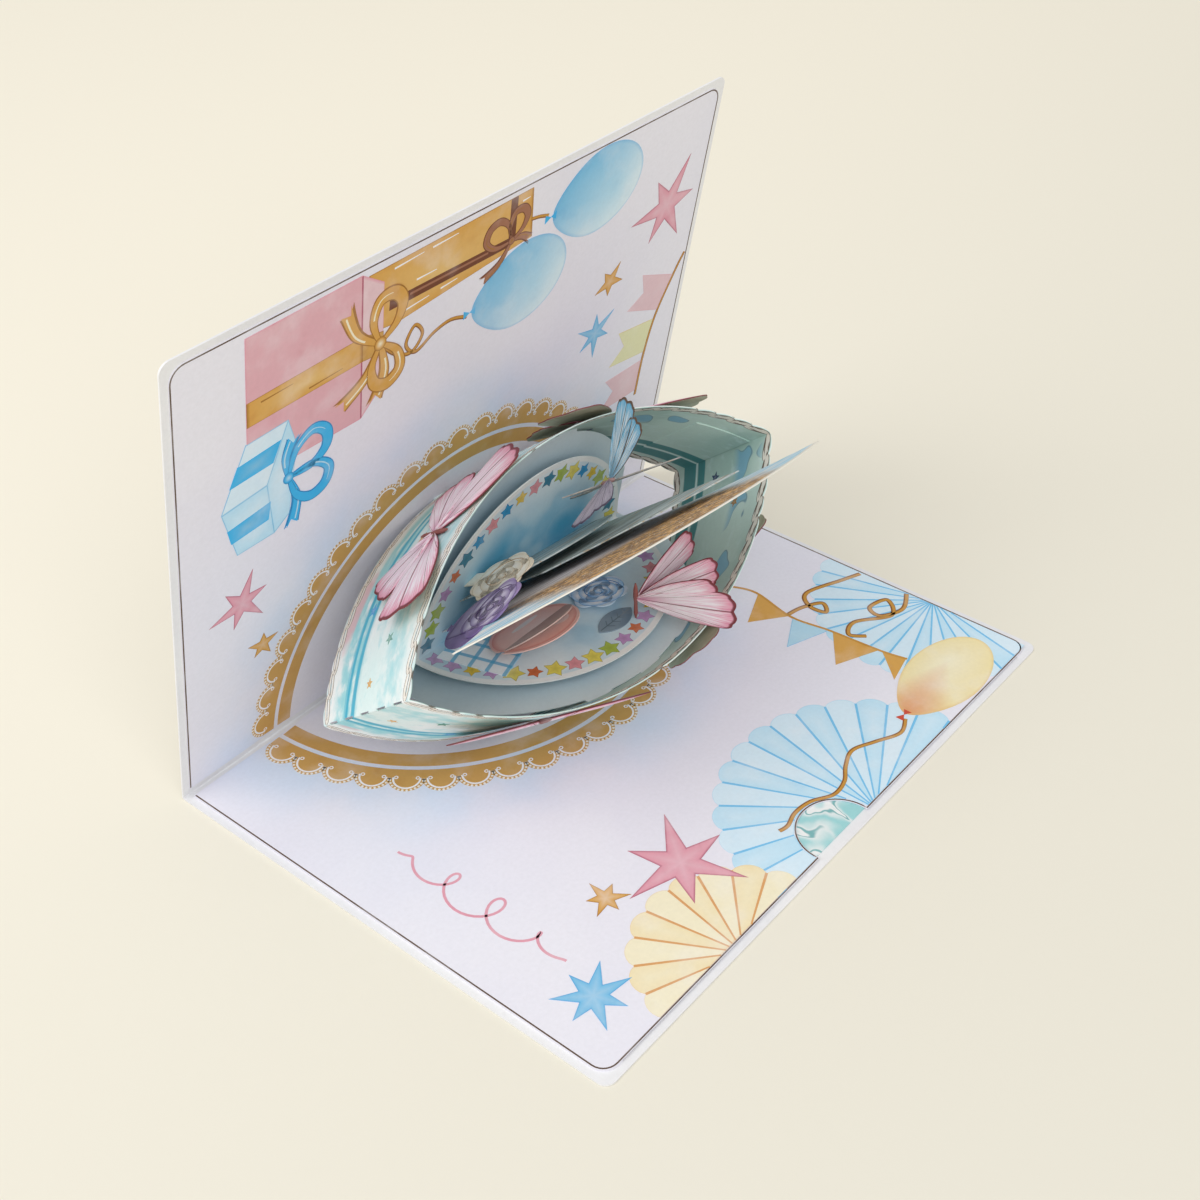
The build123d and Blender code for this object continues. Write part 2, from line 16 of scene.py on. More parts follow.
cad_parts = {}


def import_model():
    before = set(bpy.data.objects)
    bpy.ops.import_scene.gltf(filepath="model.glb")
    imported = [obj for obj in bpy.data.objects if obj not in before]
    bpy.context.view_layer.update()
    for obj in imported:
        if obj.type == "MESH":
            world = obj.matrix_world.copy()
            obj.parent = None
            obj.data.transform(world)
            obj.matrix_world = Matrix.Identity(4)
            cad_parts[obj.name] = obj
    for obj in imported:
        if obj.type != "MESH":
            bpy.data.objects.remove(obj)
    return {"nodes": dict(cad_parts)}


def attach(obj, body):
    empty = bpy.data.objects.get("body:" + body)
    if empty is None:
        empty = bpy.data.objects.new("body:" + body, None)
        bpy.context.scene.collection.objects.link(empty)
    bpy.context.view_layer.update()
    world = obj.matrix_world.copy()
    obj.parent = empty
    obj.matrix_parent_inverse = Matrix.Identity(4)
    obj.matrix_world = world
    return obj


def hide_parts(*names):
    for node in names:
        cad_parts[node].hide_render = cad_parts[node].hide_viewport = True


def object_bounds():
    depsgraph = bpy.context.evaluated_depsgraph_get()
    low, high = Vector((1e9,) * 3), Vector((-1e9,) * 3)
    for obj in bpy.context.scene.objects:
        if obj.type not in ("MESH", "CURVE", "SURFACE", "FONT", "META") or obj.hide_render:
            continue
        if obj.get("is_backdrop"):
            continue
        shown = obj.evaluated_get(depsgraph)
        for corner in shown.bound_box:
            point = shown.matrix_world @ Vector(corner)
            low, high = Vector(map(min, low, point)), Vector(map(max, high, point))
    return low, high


LOG = logging.getLogger("pop_up_card")
MM = 0.001

Point = tuple[float, float]
Tint = tuple[float, float, float]
Tints = tuple[Tint, Tint, Tint]
Ring = tuple[int, ...]
Box = tuple[float, float, float, float]
Hole = tuple[Point, float]
Mapper = Callable[[float, float, float], Vector]
Material = bpy.types.Material
Node = bpy.types.Node
Socket = bpy.types.NodeSocket
Sockets = bpy.types.bpy_prop_collection
Tree = bpy.types.NodeTree
Wiring = Callable[["Graph", Sockets], dict[str, Socket]]


class Ink:
    """Tints of the print, in linear light."""

    WHITE = (0.9, 0.9, 0.92)
    ROSE = (0.74, 0.34, 0.42)
    ROSE_DEEP = (0.46, 0.13, 0.19)
    ROSE_PALE = (0.74, 0.42, 0.47)
    BLUSH = (0.78, 0.56, 0.6)
    GOLD = (0.6, 0.35, 0.105)
    GOLD_BOX = (0.68, 0.37, 0.085)
    GOLD_PALE = (0.76, 0.5, 0.18)
    GOLD_DARK = (0.38, 0.17, 0.03)
    STRING = (0.58, 0.29, 0.05)
    STRING_DARK = (0.26, 0.1, 0.02)
    BROWN = (0.17, 0.055, 0.025)
    BROWN_PALE = (0.36, 0.16, 0.09)
    EDGE_BROWN = (0.12, 0.075, 0.05)
    SKY = (0.2, 0.52, 0.78)
    SKY_DEEP = (0.09, 0.39, 0.72)
    SKY_PALE = (0.47, 0.72, 0.87)
    SKY_MIST = (0.68, 0.83, 0.91)
    RIBBON_BLUE = (0.05, 0.46, 0.83)
    RIBBON_NAVY = (0.03, 0.27, 0.57)
    FAN_PALE = (0.69, 0.84, 0.94)
    FAN_BLUE = (0.5, 0.76, 0.92)
    FAN_LINE = (0.19, 0.54, 0.84)
    LEMON = (0.87, 0.75, 0.42)
    LEMON_PALE = (0.89, 0.83, 0.62)
    LEMON_LINE = (0.7, 0.36, 0.14)
    FLAG_LEMON = (0.78, 0.77, 0.48)
    KNOT_RED = (0.6, 0.08, 0.04)
    FLAME = (0.7, 0.2, 0.06)
    LACE = (0.86, 0.83, 0.76)
    GILT = (GOLD_DARK, GOLD_BOX, GOLD_PALE)
    ROPE = (0.86, 0.82, 0.74)
    ROPE_LINE = (0.14, 0.09, 0.065)


def blend(first: Tint, second: Tint, share: float) -> Tint:
    """Mixes two tints; a share of 1 gives the second."""
    share = min(max(share, 0.0), 1.0)
    return tuple(a + (b - a) * share for a, b in zip(first, second))


@dataclass(frozen=True)
class Card:
    """The card's directions and sizes in millimetres, as its solids have them."""

    crease: Vector = field(default_factory=lambda: Vector((0.0, 74.128, 1.25)))
    half_angle: float = radians(39)
    liner_half_width: float = 97.8
    liner_start: float = 1.7
    back_liner_end: float = 146.56
    base_liner_end: float = 146.93
    liner_corner: float = 4.5
    notch_centre: Point = (0.0, 145.63)
    notch_radius: float = 11.3
    wall_radius: float = 99.6164
    arc_centre: float = 65.6331
    wall_angle: float = 0.851496
    wall_foot: float = 41.966
    wall_height: float = 46.0
    wall_thickness: float = 0.35
    scallops: int = 25
    plate_level: float = 44.5
    plate_thickness: float = 0.4
    sheet: float = 0.35
    fit: float = 0.1

    @property
    def across(self) -> Vector:
        """Direction along the crease."""
        return Vector((1, 0, 0))

    @property
    def rise(self) -> Vector:
        """Direction away from the crease, midway between the panels."""
        return Vector((0, -cos(self.half_angle), sin(self.half_angle)))

    @property
    def to_back(self) -> Vector:
        """Direction from the middle plane towards the back panel."""
        return Vector((0, sin(self.half_angle), cos(self.half_angle)))

    @property
    def back_up(self) -> Vector:
        """Direction up the back panel, away from the crease."""
        return Vector((0, -cos(2 * self.half_angle), sin(2 * self.half_angle)))

    @property
    def back_in(self) -> Vector:
        """Direction out of the back panel's printed face."""
        return Vector((0, -sin(2 * self.half_angle), -cos(2 * self.half_angle)))

    @property
    def front_up(self) -> Vector:
        """Direction along the base panel, away from the crease."""
        return Vector((0, -1, 0))

    @property
    def front_in(self) -> Vector:
        """Direction out of the base panel's printed face."""
        return Vector((0, 0, 1))

    def panel(self, back: bool, level: float = 0.0, lift: float = 0.0) -> Face:
        """Gives a face parallel to the back or the base panel, at a level up the bisector and a lift out of it."""
        y_dir, normal = (self.back_up, self.back_in) if back else (self.front_up, self.front_in)
        return Face(self.crease + self.rise * level + normal * lift, self.across, y_dir, normal)

    def upright(self, offset: float, yaw: float) -> Face:
        """Gives a plane along the bisector, turned about it; it faces away from the back panel."""
        turn = radians(yaw)
        x_dir = self.across * cos(turn) - self.to_back * sin(turn)
        return Face(self.crease + self.to_back * offset, x_dir, self.rise, x_dir.cross(self.rise))

    def leaning(self, place: tuple[float, float, float], yaw: float, lean: float) -> Face:
        """Gives a turned plane that leans away from the back panel and faces it.

        Args:
            place: Distances along the crease, up the bisector and towards the back panel.
            yaw: Turn about the bisector in degrees.
            lean: Lean in degrees.

        Returns:
            The face.
        """
        turn, tilt = radians(yaw), radians(lean)
        x_dir = self.across * cos(turn) - self.to_back * sin(turn)
        out = self.to_back * cos(turn) + self.across * sin(turn)
        y_dir = self.rise * cos(tilt) - out * sin(tilt)
        normal = out * cos(tilt) + self.rise * sin(tilt)
        origin = self.crease + self.across * place[0] + self.rise * place[1] + self.to_back * place[2]
        return Face(origin, x_dir, y_dir, normal)

    def wall(self, back: bool, outer: bool) -> Mapper:
        """Gives a map from flat places to one arc of the side wall.

        Args:
            back: True for the arc by the back panel.
            outer: True for the outer face, False for the inner face.

        Returns:
            A map from length along the arc, height above its foot, and lift.
        """
        side = 1 if back else -1

        def place(along: float, height: float, lift: float) -> Vector:
            """Places one point on the arc."""
            radius = self.wall_radius + lift if outer else self.wall_radius - self.wall_thickness - lift
            angle = along / self.wall_radius
            spread = radius * cos(angle) - self.arc_centre
            flat = self.across * (radius * sin(angle)) + self.to_back * (side * spread)
            return (self.crease + flat + self.rise * (self.wall_foot + height)) * MM

        return place


@dataclass(frozen=True)
class Face:
    """Plane that takes print."""

    origin: Vector
    x_dir: Vector
    y_dir: Vector
    normal: Vector

    def place(self, x: float, y: float, lift: float = 0.0) -> Vector:
        """Places a flat point on the card, in metres."""
        return (self.origin + self.x_dir * x + self.y_dir * y + self.normal * lift) * MM

    def moved(self, x: float, y: float, lift: float = 0.0) -> Face:
        """Gives the same plane with its origin moved."""
        return Face(self.place(x, y, lift) / MM, self.x_dir, self.y_dir, self.normal)

    def turned(self, lean: float) -> Face:
        """Gives the plane leaned about its x axis by an angle in degrees."""
        turn = radians(lean)
        y_dir = self.y_dir * cos(turn) + self.normal * sin(turn)
        normal = self.normal * cos(turn) - self.y_dir * sin(turn)
        return Face(self.origin, self.x_dir, y_dir, normal)

    def flipped(self) -> Face:
        """Gives the plane's other face, with the same axes in it."""
        return Face(self.origin, self.x_dir, self.y_dir, -self.normal)


CARD = Card()


def smooth_path(points: Sequence[Point], steps: int = 6) -> list[Point]:
    """Runs a rounded path through a few points.

    Args:
        points: The points to pass through.
        steps: Points made for each stretch.

    Returns:
        The path's points.
    """
    ends = [points[0], *points, points[-1]]
    path: list[Point] = []
    for i in range(1, len(ends) - 2):
        a, b, c, d = (Vector(ends[i + k]) for k in (-1, 0, 1, 2))
        for step in range(steps):
            t = step / steps
            square, cube = 2 * a - 5 * b + 4 * c - d, 3 * b - 3 * c + d - a
            spot = 0.5 * (2 * b + (c - a) * t + square * t**2 + cube * t**3)
            path.append((spot.x, spot.y))
    path.append(tuple(points[-1]))
    return path


def arc_points(centre: Point, radius: float, start: float, end: float, count: int) -> list[Point]:
    """Gives points on an arc; angles are in degrees."""
    turns = [radians(start + (end - start) * i / (count - 1)) for i in range(count)]
    return [(centre[0] + radius * cos(t), centre[1] + radius * sin(t)) for t in turns]


class InkSheet:
    """Flat printed shapes gathered into one thin mesh, with a tint on each point."""

    BASE_LIFT = 0.03
    LEVEL_LIFT = 0.014
    ROOT = -0.05

    def __init__(self, name: str, mapper: Mapper) -> None:
        """Starts an empty sheet.

        Args:
            name: Name of the piece.
            mapper: Map from flat places to the card.
        """
        self.name = name
        self.mapper = mapper
        self.points: list[Vector] = []
        self.faces: list[Ring] = []
        self.tints: list[Tint] = []

    def _ring(self, loop: Sequence[Point], lift: float, tint: Tint | Sequence[Tint]) -> list[int]:
        """Adds a ring of points with one tint, or a tint each, and gives their numbers."""
        start = len(self.points)
        self.points += [self.mapper(x, y, lift) for x, y in loop]
        self.tints += list(tint) if isinstance(tint[0], tuple) else [tint] * len(loop)
        return list(range(start, len(self.points)))

    def _strip(self, first: Sequence[int], second: Sequence[int], closed: bool = True) -> None:
        """Joins two rings of the same length with faces."""
        count = len(first)
        for i in range(count if closed else count - 1):
            j = (i + 1) % count
            self.faces.append((first[i], first[j], second[j], second[i]))

    def _lift(self, level: int) -> float:
        """Gives the height of a print level."""
        return self.BASE_LIFT + self.LEVEL_LIFT * level

    def fill(self, loop: Sequence[Point], tint: Tint, level: int = 0) -> None:
        """Prints one field of colour.

        Args:
            loop: The field's outline.
            tint: Its colour.
            level: Print level; a higher one covers a lower one.
        """
        top = self._ring(loop, self._lift(level), tint)
        low = self._ring(loop, self.ROOT, tint)
        self._strip(top, low)
        for a, b, c in tessellate_polygon([[Vector((x, y, 0)) for x, y in loop]]):
            self.faces += [(top[a], top[b], top[c]), (low[c], low[b], low[a])]

    def wash(self, loop: Sequence[Point], edge: Tint | Sequence[Tint], body: Tint | Sequence[Tint], core: Tint,
             level: int = 0, centre: Point | None = None, rim: float = 0.92) -> None:
        """Prints a field whose colour pools at its edge and clears towards its core.

        Args:
            loop: The outline, all of it in sight of the core.
            edge: Colour on the outline, one or a list.
            body: Colour just inside it, one or a list.
            core: Colour at the core.
            level: Print level.
            centre: Place of the core, or None for the outline's middle.
            rim: Share of the way out where the body colour starts.
        """
        if centre is None:
            centre = (sum(p[0] for p in loop) / len(loop), sum(p[1] for p in loop) / len(loop))
        lift = self._lift(level)
        inner = [(centre[0] + (x - centre[0]) * rim, centre[1] + (y - centre[1]) * rim) for x, y in loop]
        outer, body_ring = self._ring(loop, lift, edge), self._ring(inner, lift, body)
        hub = self._ring([centre], lift, core)[0]
        low = self._ring(loop, self.ROOT, edge)
        low_hub = self._ring([centre], self.ROOT, core)[0]
        self._strip(outer, body_ring)
        self._strip(low, outer)
        for i in range(len(loop)):
            j = (i + 1) % len(loop)
            self.faces += [(body_ring[i], body_ring[j], hub), (low[j], low[i], low_hub)]

    def stroke(self, points: Sequence[Point], width: float | Sequence[float], tint: Tint, level: int = 1,
               closed: bool = False, end_width: float | None = None) -> None:
        """Prints a line.

        Args:
            points: The line's middle.
            width: Its width, at the start or at each point.
            tint: Its colour.
            level: Print level.
            closed: True if the line joins its own start.
            end_width: Width at the end, or None for the same width.
        """
        count = len(points)
        if isinstance(width, (int, float)):
            last = width if end_width is None else end_width
            width = [width + (last - width) * i / max(count - 1, 1) for i in range(count)]
        left: list[Point] = []
        right: list[Point] = []
        for i, (x, y) in enumerate(points):
            before = points[i - 1] if i or closed else points[i]
            after = points[(i + 1) % count] if i < count - 1 or closed else points[i]
            run = Vector((after[0] - before[0], after[1] - before[1]))
            run = run.normalized() if run.length else Vector((1, 0))
            half = width[i] / 2
            left.append((x - run.y * half, y + run.x * half))
            right.append((x + run.y * half, y - run.x * half))
        lift = self._lift(level)
        top = [self._ring(left, lift, tint), self._ring(right, lift, tint)]
        low = [self._ring(left, self.ROOT, tint), self._ring(right, self.ROOT, tint)]
        for first, second in ((top[0], top[1]), (low[1], low[0]), (low[0], top[0]), (top[1], low[1])):
            self._strip(first, second, closed)
        if not closed:
            for i in (0, count - 1):
                self.faces.append((top[0][i], top[1][i], low[1][i], low[0][i]))

    def build(self, material: Material) -> None:
        """Makes the piece with its finish."""
        finish_piece(self.name, tinted_mesh(self.name, self.points, self.faces, self.tints), material)


def tinted_mesh(name: str, points: Sequence[Vector], faces: Sequence[Ring], tints: Sequence[Tint],
                layer: str = "tint") -> bpy.types.Mesh:
    """Makes a mesh with a colour on each of its points.

    Args:
        name: Name of the mesh.
        points: Its points.
        faces: Its faces, as numbers of points.
        tints: A colour for each point.
        layer: Name under which the colours are kept.

    Returns:
        The mesh.
    """
    mesh = bpy.data.meshes.new(name)
    mesh.from_pydata([tuple(p) for p in points], [], faces)
    drawn = mesh.attributes.new(layer, "FLOAT_COLOR", "POINT")
    for item, value in zip(drawn.data, tints):
        item.color = (*value, 1)
    return mesh


def new_object(name: str, data: bpy.types.ID) -> bpy.types.Object:
    """Adds an object to the scene."""
    made = bpy.data.objects.new(name, data)
    bpy.context.scene.collection.objects.link(made)
    return made


def finish_piece(name: str, mesh: bpy.types.Mesh, material: Material) -> bpy.types.Object:
    """Turns a mesh into a piece that rides on the card.

    Args:
        name: Name of the piece.
        mesh: Its mesh, in place.
        material: Its finish.

    Returns:
        The new object.
    """
    shell = bmesh.new()
    shell.from_mesh(mesh)
    bmesh.ops.recalc_face_normals(shell, faces=shell.faces)
    shell.to_mesh(mesh)
    shell.free()
    mesh.materials.clear()
    mesh.materials.append(material)
    piece = new_object(name, mesh)
    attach(piece, "root")
    LOG.info("%s: %d faces", name, len(mesh.polygons))
    return piece


class Graph:
    """Wires nodes into a tree."""

    def __init__(self, tree: Tree) -> None:
        """Takes the tree to work on."""
        self.tree = tree

    def node(self, kind: str, feed: dict[str | int, object] | None = None, **settings: object) -> Node:
        """Adds a node, sets its options and then feeds its inputs."""
        made = self.tree.nodes.new(kind)
        for key, value in settings.items():
            setattr(made, key, value)
        for key, value in (feed or {}).items():
            self.put(made.inputs[key], value)
        return made

    def put(self, target: Socket, value: object) -> None:
        """Links a socket to another, or sets it to a plain value."""
        if isinstance(value, Socket):
            self.tree.links.new(value, target)
        elif target.type == "RGBA" and len(value) == 3:
            target.default_value = (*value, 1)
        else:
            target.default_value = value

    def group(self, tree: Tree, feed: dict[str, object]) -> Sockets:
        """Adds a shared group and gives its outputs."""
        return self.node("ShaderNodeGroup", feed, node_tree=tree).outputs

    def math(self, operation: str, a: object, b: object = 0.0) -> Socket:
        """Adds a sum of two values."""
        return self.node("ShaderNodeMath", {0: a, 1: b}, operation=operation).outputs[0]

    def times(self, a: object, b: object) -> Socket:
        """Multiplies two values."""
        return self.math("MULTIPLY", a, b)

    def vector(self, operation: str, a: object, b: object = (0.0, 0.0, 0.0)) -> Socket:
        """Adds a sum of two vectors; a dot product or a length comes out as a value."""
        made = self.node("ShaderNodeVectorMath", {0: a, 1: b}, operation=operation)
        return made.outputs["Value" if operation in ("DOT_PRODUCT", "LENGTH") else 0]

    def combine(self, x: object, y: object, z: object = 0.0) -> Socket:
        """Joins three values to a vector."""
        return self.node("ShaderNodeCombineXYZ", {0: x, 1: y, 2: z}).outputs[0]

    def split(self, vector: object) -> Sockets:
        """Parts a vector into its three values."""
        return self.node("ShaderNodeSeparateXYZ", {0: vector}).outputs

    def mix(self, factor: object, a: object, b: object, blend: str = "MIX") -> Socket:
        """Mixes two colours."""
        feed = {"Factor": factor, 6: a, 7: b}
        return self.node("ShaderNodeMix", feed, data_type="RGBA", blend_type=blend).outputs[2]

    def over(self, paper: object, tint: object, mask: object, share: float) -> Socket:
        """Lays a tint over the paper where a mask says, at a share of its strength."""
        return self.mix(self.times(mask, share), paper, tint)

    def noise(self, vector: object, scale: object, detail: float) -> Socket:
        """Adds noise around one half."""
        return self.node("ShaderNodeTexNoise", {"Vector": vector, "Scale": scale, "Detail": detail}).outputs[0]

    def step(self, value: object, low: float, high: float) -> Socket:
        """Gives a soft step from 0 at low to 1 at high."""
        feed = {"Value": value, "From Min": min(low, high), "From Max": max(low, high),
                "To Min": 0.0 if low < high else 1, "To Max": 1 if low < high else 0.0}
        return self.node("ShaderNodeMapRange", feed, interpolation_type="SMOOTHSTEP").outputs[0]

    def band(self, value: object, middle: float, half: float, soft: float) -> Socket:
        """Gives 1 within a band and 0 outside it."""
        away = self.math("ABSOLUTE", self.math("SUBTRACT", value, middle))
        return self.step(away, half + soft, half - soft)


class Groups:
    """Shader groups that several finishes share."""

    VALUE = "NodeSocketFloat"
    VECTOR = "NodeSocketVector"
    COLOUR = "NodeSocketColor"
    AXES = ("X axis", "Y axis", "Z axis")

    @staticmethod
    def _shared(name: str, inputs: dict[str, str], outputs: dict[str, str], wire: Wiring) -> Tree:
        """Gives a group, which is made when it is first asked for.

        Args:
            name: Name of the group.
            inputs: Kinds of its input sockets by name.
            outputs: Kinds of its output sockets by name.
            wire: Gives what goes to each output, from the graph and its inputs.

        Returns:
            The group's tree.
        """
        if name not in bpy.data.node_groups:
            tree = bpy.data.node_groups.new(name, "ShaderNodeTree")
            for way, sockets in (("INPUT", inputs), ("OUTPUT", outputs)):
                for socket, kind in sockets.items():
                    tree.interface.new_socket(name=socket, in_out=way, socket_type=kind)
            graph = Graph(tree)
            graph.node("NodeGroupOutput", wire(graph, graph.node("NodeGroupInput").outputs))
        return bpy.data.node_groups[name]

    @classmethod
    def paper_grain(cls) -> Tree:
        """Gives the paper's fine grain: a tone around 1 and a height."""

        def wire(graph: Graph, source: Sockets) -> dict[str, Socket]:
            """Wires the grain."""
            fibre = graph.noise(source["Vector"], source["Scale"], 5)
            away = graph.times(graph.math("SUBTRACT", fibre, 0.5), source["Depth"])
            return {"Tone": graph.math("ADD", away, 1), "Height": fibre}

        sockets = {"Vector": cls.VECTOR, "Scale": cls.VALUE, "Depth": cls.VALUE}
        return cls._shared("paper_grain", sockets, {"Tone": cls.VALUE, "Height": cls.VALUE}, wire)

    @classmethod
    def watercolour(cls) -> Tree:
        """Gives a watercolour wash between two colours, with pooled edges."""

        def wire(graph: Graph, source: Sockets) -> dict[str, Socket]:
            """Wires the wash."""
            vector, scale = source["Vector"], source["Scale"]
            broad = graph.noise(vector, scale, 2)
            fine = graph.noise(vector, graph.times(scale, 5), 4)
            pool = graph.band(broad, 0.5, 0.02, 0.015)
            amount = graph.math("ADD", graph.step(broad, 0.32, 0.68), graph.times(fine, 0.3))
            amount = graph.math("ADD", graph.math("SUBTRACT", amount, 0.15), graph.times(pool, 0.12))
            return {"Color": graph.mix(amount, source["Light"], source["Dark"])}

        sockets = {"Vector": cls.VECTOR, "Light": cls.COLOUR, "Dark": cls.COLOUR, "Scale": cls.VALUE}
        return cls._shared("watercolour", sockets, {"Color": cls.COLOUR}, wire)

    @classmethod
    def plane_position(cls) -> Tree:
        """Gives a place in a tilted plane, in millimetres."""

        def wire(graph: Graph, source: Sockets) -> dict[str, Socket]:
            """Wires the place."""
            away = graph.vector("SUBTRACT", source["Vector"], source["Origin"])
            reach = {axis: graph.vector("DOT_PRODUCT", away, source[axis]) for axis in cls.AXES}
            return {axis[0]: graph.times(value, 1 / MM) for axis, value in reach.items()}

        sockets = {key: cls.VECTOR for key in ("Vector", "Origin", *cls.AXES)}
        return cls._shared("plane_position", sockets, {axis[0]: cls.VALUE for axis in cls.AXES}, wire)


@dataclass(frozen=True)
class Finish:
    """Plain paper with a watercolour wash and a fine grain."""

    name: str
    light: Tint
    dark: Tint
    wash_scale: float = 22.0
    roughness: float = 0.62
    grain_scale: float = 900.0
    grain_depth: float = 0.10
    bump: float = 0.06
    bump_height: float = 0.1 * MM
    specular: float = 0.3
    coat: float = 0.0

    def build(self) -> Material:
        """Makes the material."""
        material = bpy.data.materials.new(self.name)
        material.use_nodes = True
        graph = Graph(material.node_tree)
        vector = graph.node("ShaderNodeTexCoord").outputs["Object"]
        feed = {"Vector": vector, "Scale": self.grain_scale, "Depth": self.grain_depth}
        grain = graph.group(Groups.paper_grain(), feed)
        colour = graph.mix(1, self.colour(graph, vector), grain["Tone"], "MULTIPLY")
        feed = {"Strength": self.bump, "Distance": self.bump_height, "Height": grain["Height"]}
        normal = graph.node("ShaderNodeBump", feed).outputs[0]
        feed = {"Base Color": colour, "Normal": normal, "Roughness": self.roughness,
                "Specular IOR Level": self.specular, "Coat Weight": self.coat}
        for key, value in feed.items():
            graph.put(material.node_tree.nodes["Principled BSDF"].inputs[key], value)
        return material

    def wash(self, graph: Graph, vector: object, light: Tint, dark: Tint, scale: float) -> Socket:
        """Adds a watercolour wash between two colours."""
        feed = {"Vector": vector, "Light": light, "Dark": dark, "Scale": scale}
        return graph.group(Groups.watercolour(), feed)["Color"]

    def plane(self, graph: Graph, vector: object, face: Face) -> tuple[Socket, ...]:
        """Adds a place in a tilted plane and gives its three sockets."""
        feed = {"Vector": vector, "Origin": face.origin * MM}
        feed.update(zip(Groups.AXES, (face.x_dir, face.y_dir, face.normal)))
        return tuple(graph.group(Groups.plane_position(), feed))

    def colour(self, graph: Graph, vector: object) -> object:
        """Gives the paper's colour over its surface.

        Args:
            graph: Graph of the material.
            vector: Place on the surface, in metres.

        Returns:
            The colour, as a socket or a plain tint.
        """
        return self.wash(graph, vector, self.light, self.dark, self.wash_scale)


@dataclass(frozen=True)
class TableFinish(Finish):
    """Pale table with painted light: it grows lighter towards the back, in place of the lamps' fall-off."""

    front: float = -0.25
    rear: float = 0.35

    def colour(self, graph: Graph, vector: object) -> object:
        """Gives the table's colour, with painted light from the darker front to the lighter back."""
        # painted light: the darker tint at the front steps to the lighter tint towards the back
        return graph.mix(graph.step(graph.split(vector)["Y"], self.front, self.rear), self.dark, self.light)


@dataclass(frozen=True)
class LinerFinish(Finish):
    """White liner with a pale halo of blue around the doily."""

    halo: Tint = (0.64, 0.76, 0.93)
    inner_start: float = 60.0
    inner_end: float = 68.0
    halo_start: float = 74.0
    halo_end: float = 100.0
    strength: float = 0.85

    def colour(self, graph: Graph, vector: object) -> object:
        """Gives the white with its halo."""
        away = graph.vector("SUBTRACT", vector, CARD.crease * MM)
        reach = graph.times(graph.vector("LENGTH", away), 1 / MM)
        cloud = graph.step(graph.noise(vector, 30, 4), 0.3, 0.72)
        ring = graph.times(graph.step(reach, self.halo_end, self.halo_start), cloud)
        ring = graph.times(ring, graph.step(reach, self.inner_start, self.inner_end))
        return graph.over(super().colour(graph, vector), self.halo, ring, self.strength)


@dataclass(frozen=True)
class WallFinish(Finish):
    """Printed strip of the ring, with one picture outside and another inside."""

    blush: Tint = (0.74, 0.45, 0.5)
    aqua: Tint = (0.26, 0.66, 0.72)
    stripe: Tint = (0.04, 0.42, 0.6)
    mint: Tint = (0.72, 0.88, 0.87)
    moss: Tint = (0.4, 0.58, 0.53)
    moss_light: Tint = (0.64, 0.8, 0.74)
    teal: Tint = (0.03, 0.24, 0.26)
    cloud: Tint = (0.2, 0.47, 0.66)
    cloud_line: Tint = (0.07, 0.22, 0.36)

    def colour(self, graph: Graph, vector: object) -> object:
        """Gives both faces' colours."""
        x, rise, spread = self.plane(graph, vector, CARD.upright(0.0, 0.0))
        height = graph.math("SUBTRACT", rise, CARD.wall_foot)
        drift = graph.noise(graph.combine(graph.times(x, 0.03), height), 0.35, 2)
        level = graph.math("ADD", height, graph.times(graph.math("SUBTRACT", drift, 0.5), 3))
        reach = graph.math("ADD", graph.math("ABSOLUTE", spread), CARD.arc_centre)
        square = graph.math("ADD", graph.math("POWER", reach, 2), graph.math("POWER", x, 2))
        middle = CARD.wall_radius - CARD.wall_thickness / 2
        outside = graph.math("GREATER_THAN", graph.math("SQRT", square), middle)
        lane = graph.noise(graph.combine(graph.times(x, 0.04), height, spread), 0.3, 3)
        outer = self.outer(graph, vector, level, lane)
        return graph.mix(outside, self.inner(graph, vector, level, lane), outer)

    def outer(self, graph: Graph, vector: object, level: object, lane: object) -> object:
        """Gives the pale outer picture with its streaks along the wall.

        Args:
            graph: Graph of the material.
            vector: Place on the surface, in metres.
            level: Height above the wall's foot, in millimetres.
            lane: Noise drawn out along the wall.

        Returns:
            The colour.
        """
        paper = self.wash(graph, vector, self.light, self.mint, 30)
        paper = graph.over(paper, self.aqua, graph.step(lane, 0.5, 0.7), 0.4)
        for middle, half, share in ((35, 5, 0.5), (12, 5.5, 0.8)):
            amount = graph.times(graph.band(level, middle, half, 2.5), share)
            paper = graph.mix(graph.times(amount, graph.step(lane, 0.3, 0.55)), paper, self.aqua)
        for middle in (13, 16.6):
            paper = graph.over(paper, self.stripe, graph.band(level, middle, 0.95, 0.4), 0.9)
        touch = graph.step(graph.noise(vector, 70, 2), 0.5, 0.64)
        return graph.over(paper, self.blush, graph.times(touch, graph.band(level, 5, 2.4, 1)), 0.75)

    def inner(self, graph: Graph, vector: object, level: object, lane: object) -> object:
        """Gives the muted inner picture with its clouds and bands.

        Args:
            graph: Graph of the material.
            vector: Place on the surface, in metres.
            level: Height above the wall's foot, in millimetres.
            lane: Noise drawn out along the wall.

        Returns:
            The colour.
        """
        paper = self.wash(graph, vector, self.moss_light, self.moss, 24)
        paper = graph.over(paper, self.mint, graph.step(lane, 0.52, 0.72), 0.4)
        puff = graph.noise(graph.vector("MULTIPLY", vector, (0.6, 1, 1)), 92, 1)
        where = graph.band(level, 36, 5.5, 2)
        paper = graph.over(paper, self.cloud, graph.times(graph.step(puff, 0.59, 0.605), where), 0.8)
        rim = graph.times(graph.band(puff, 0.592, 0.006, 0.005), where)
        paper = graph.over(paper, self.cloud_line, rim, 0.7)
        for middle, half in ((8, 2.8), (14.2, 1.8)):
            paper = graph.over(paper, self.teal, graph.band(level, middle, half, 0.4), 0.88)
        return graph.mix(graph.band(level, 11.4, 0.35, 0.15), paper, self.mint)


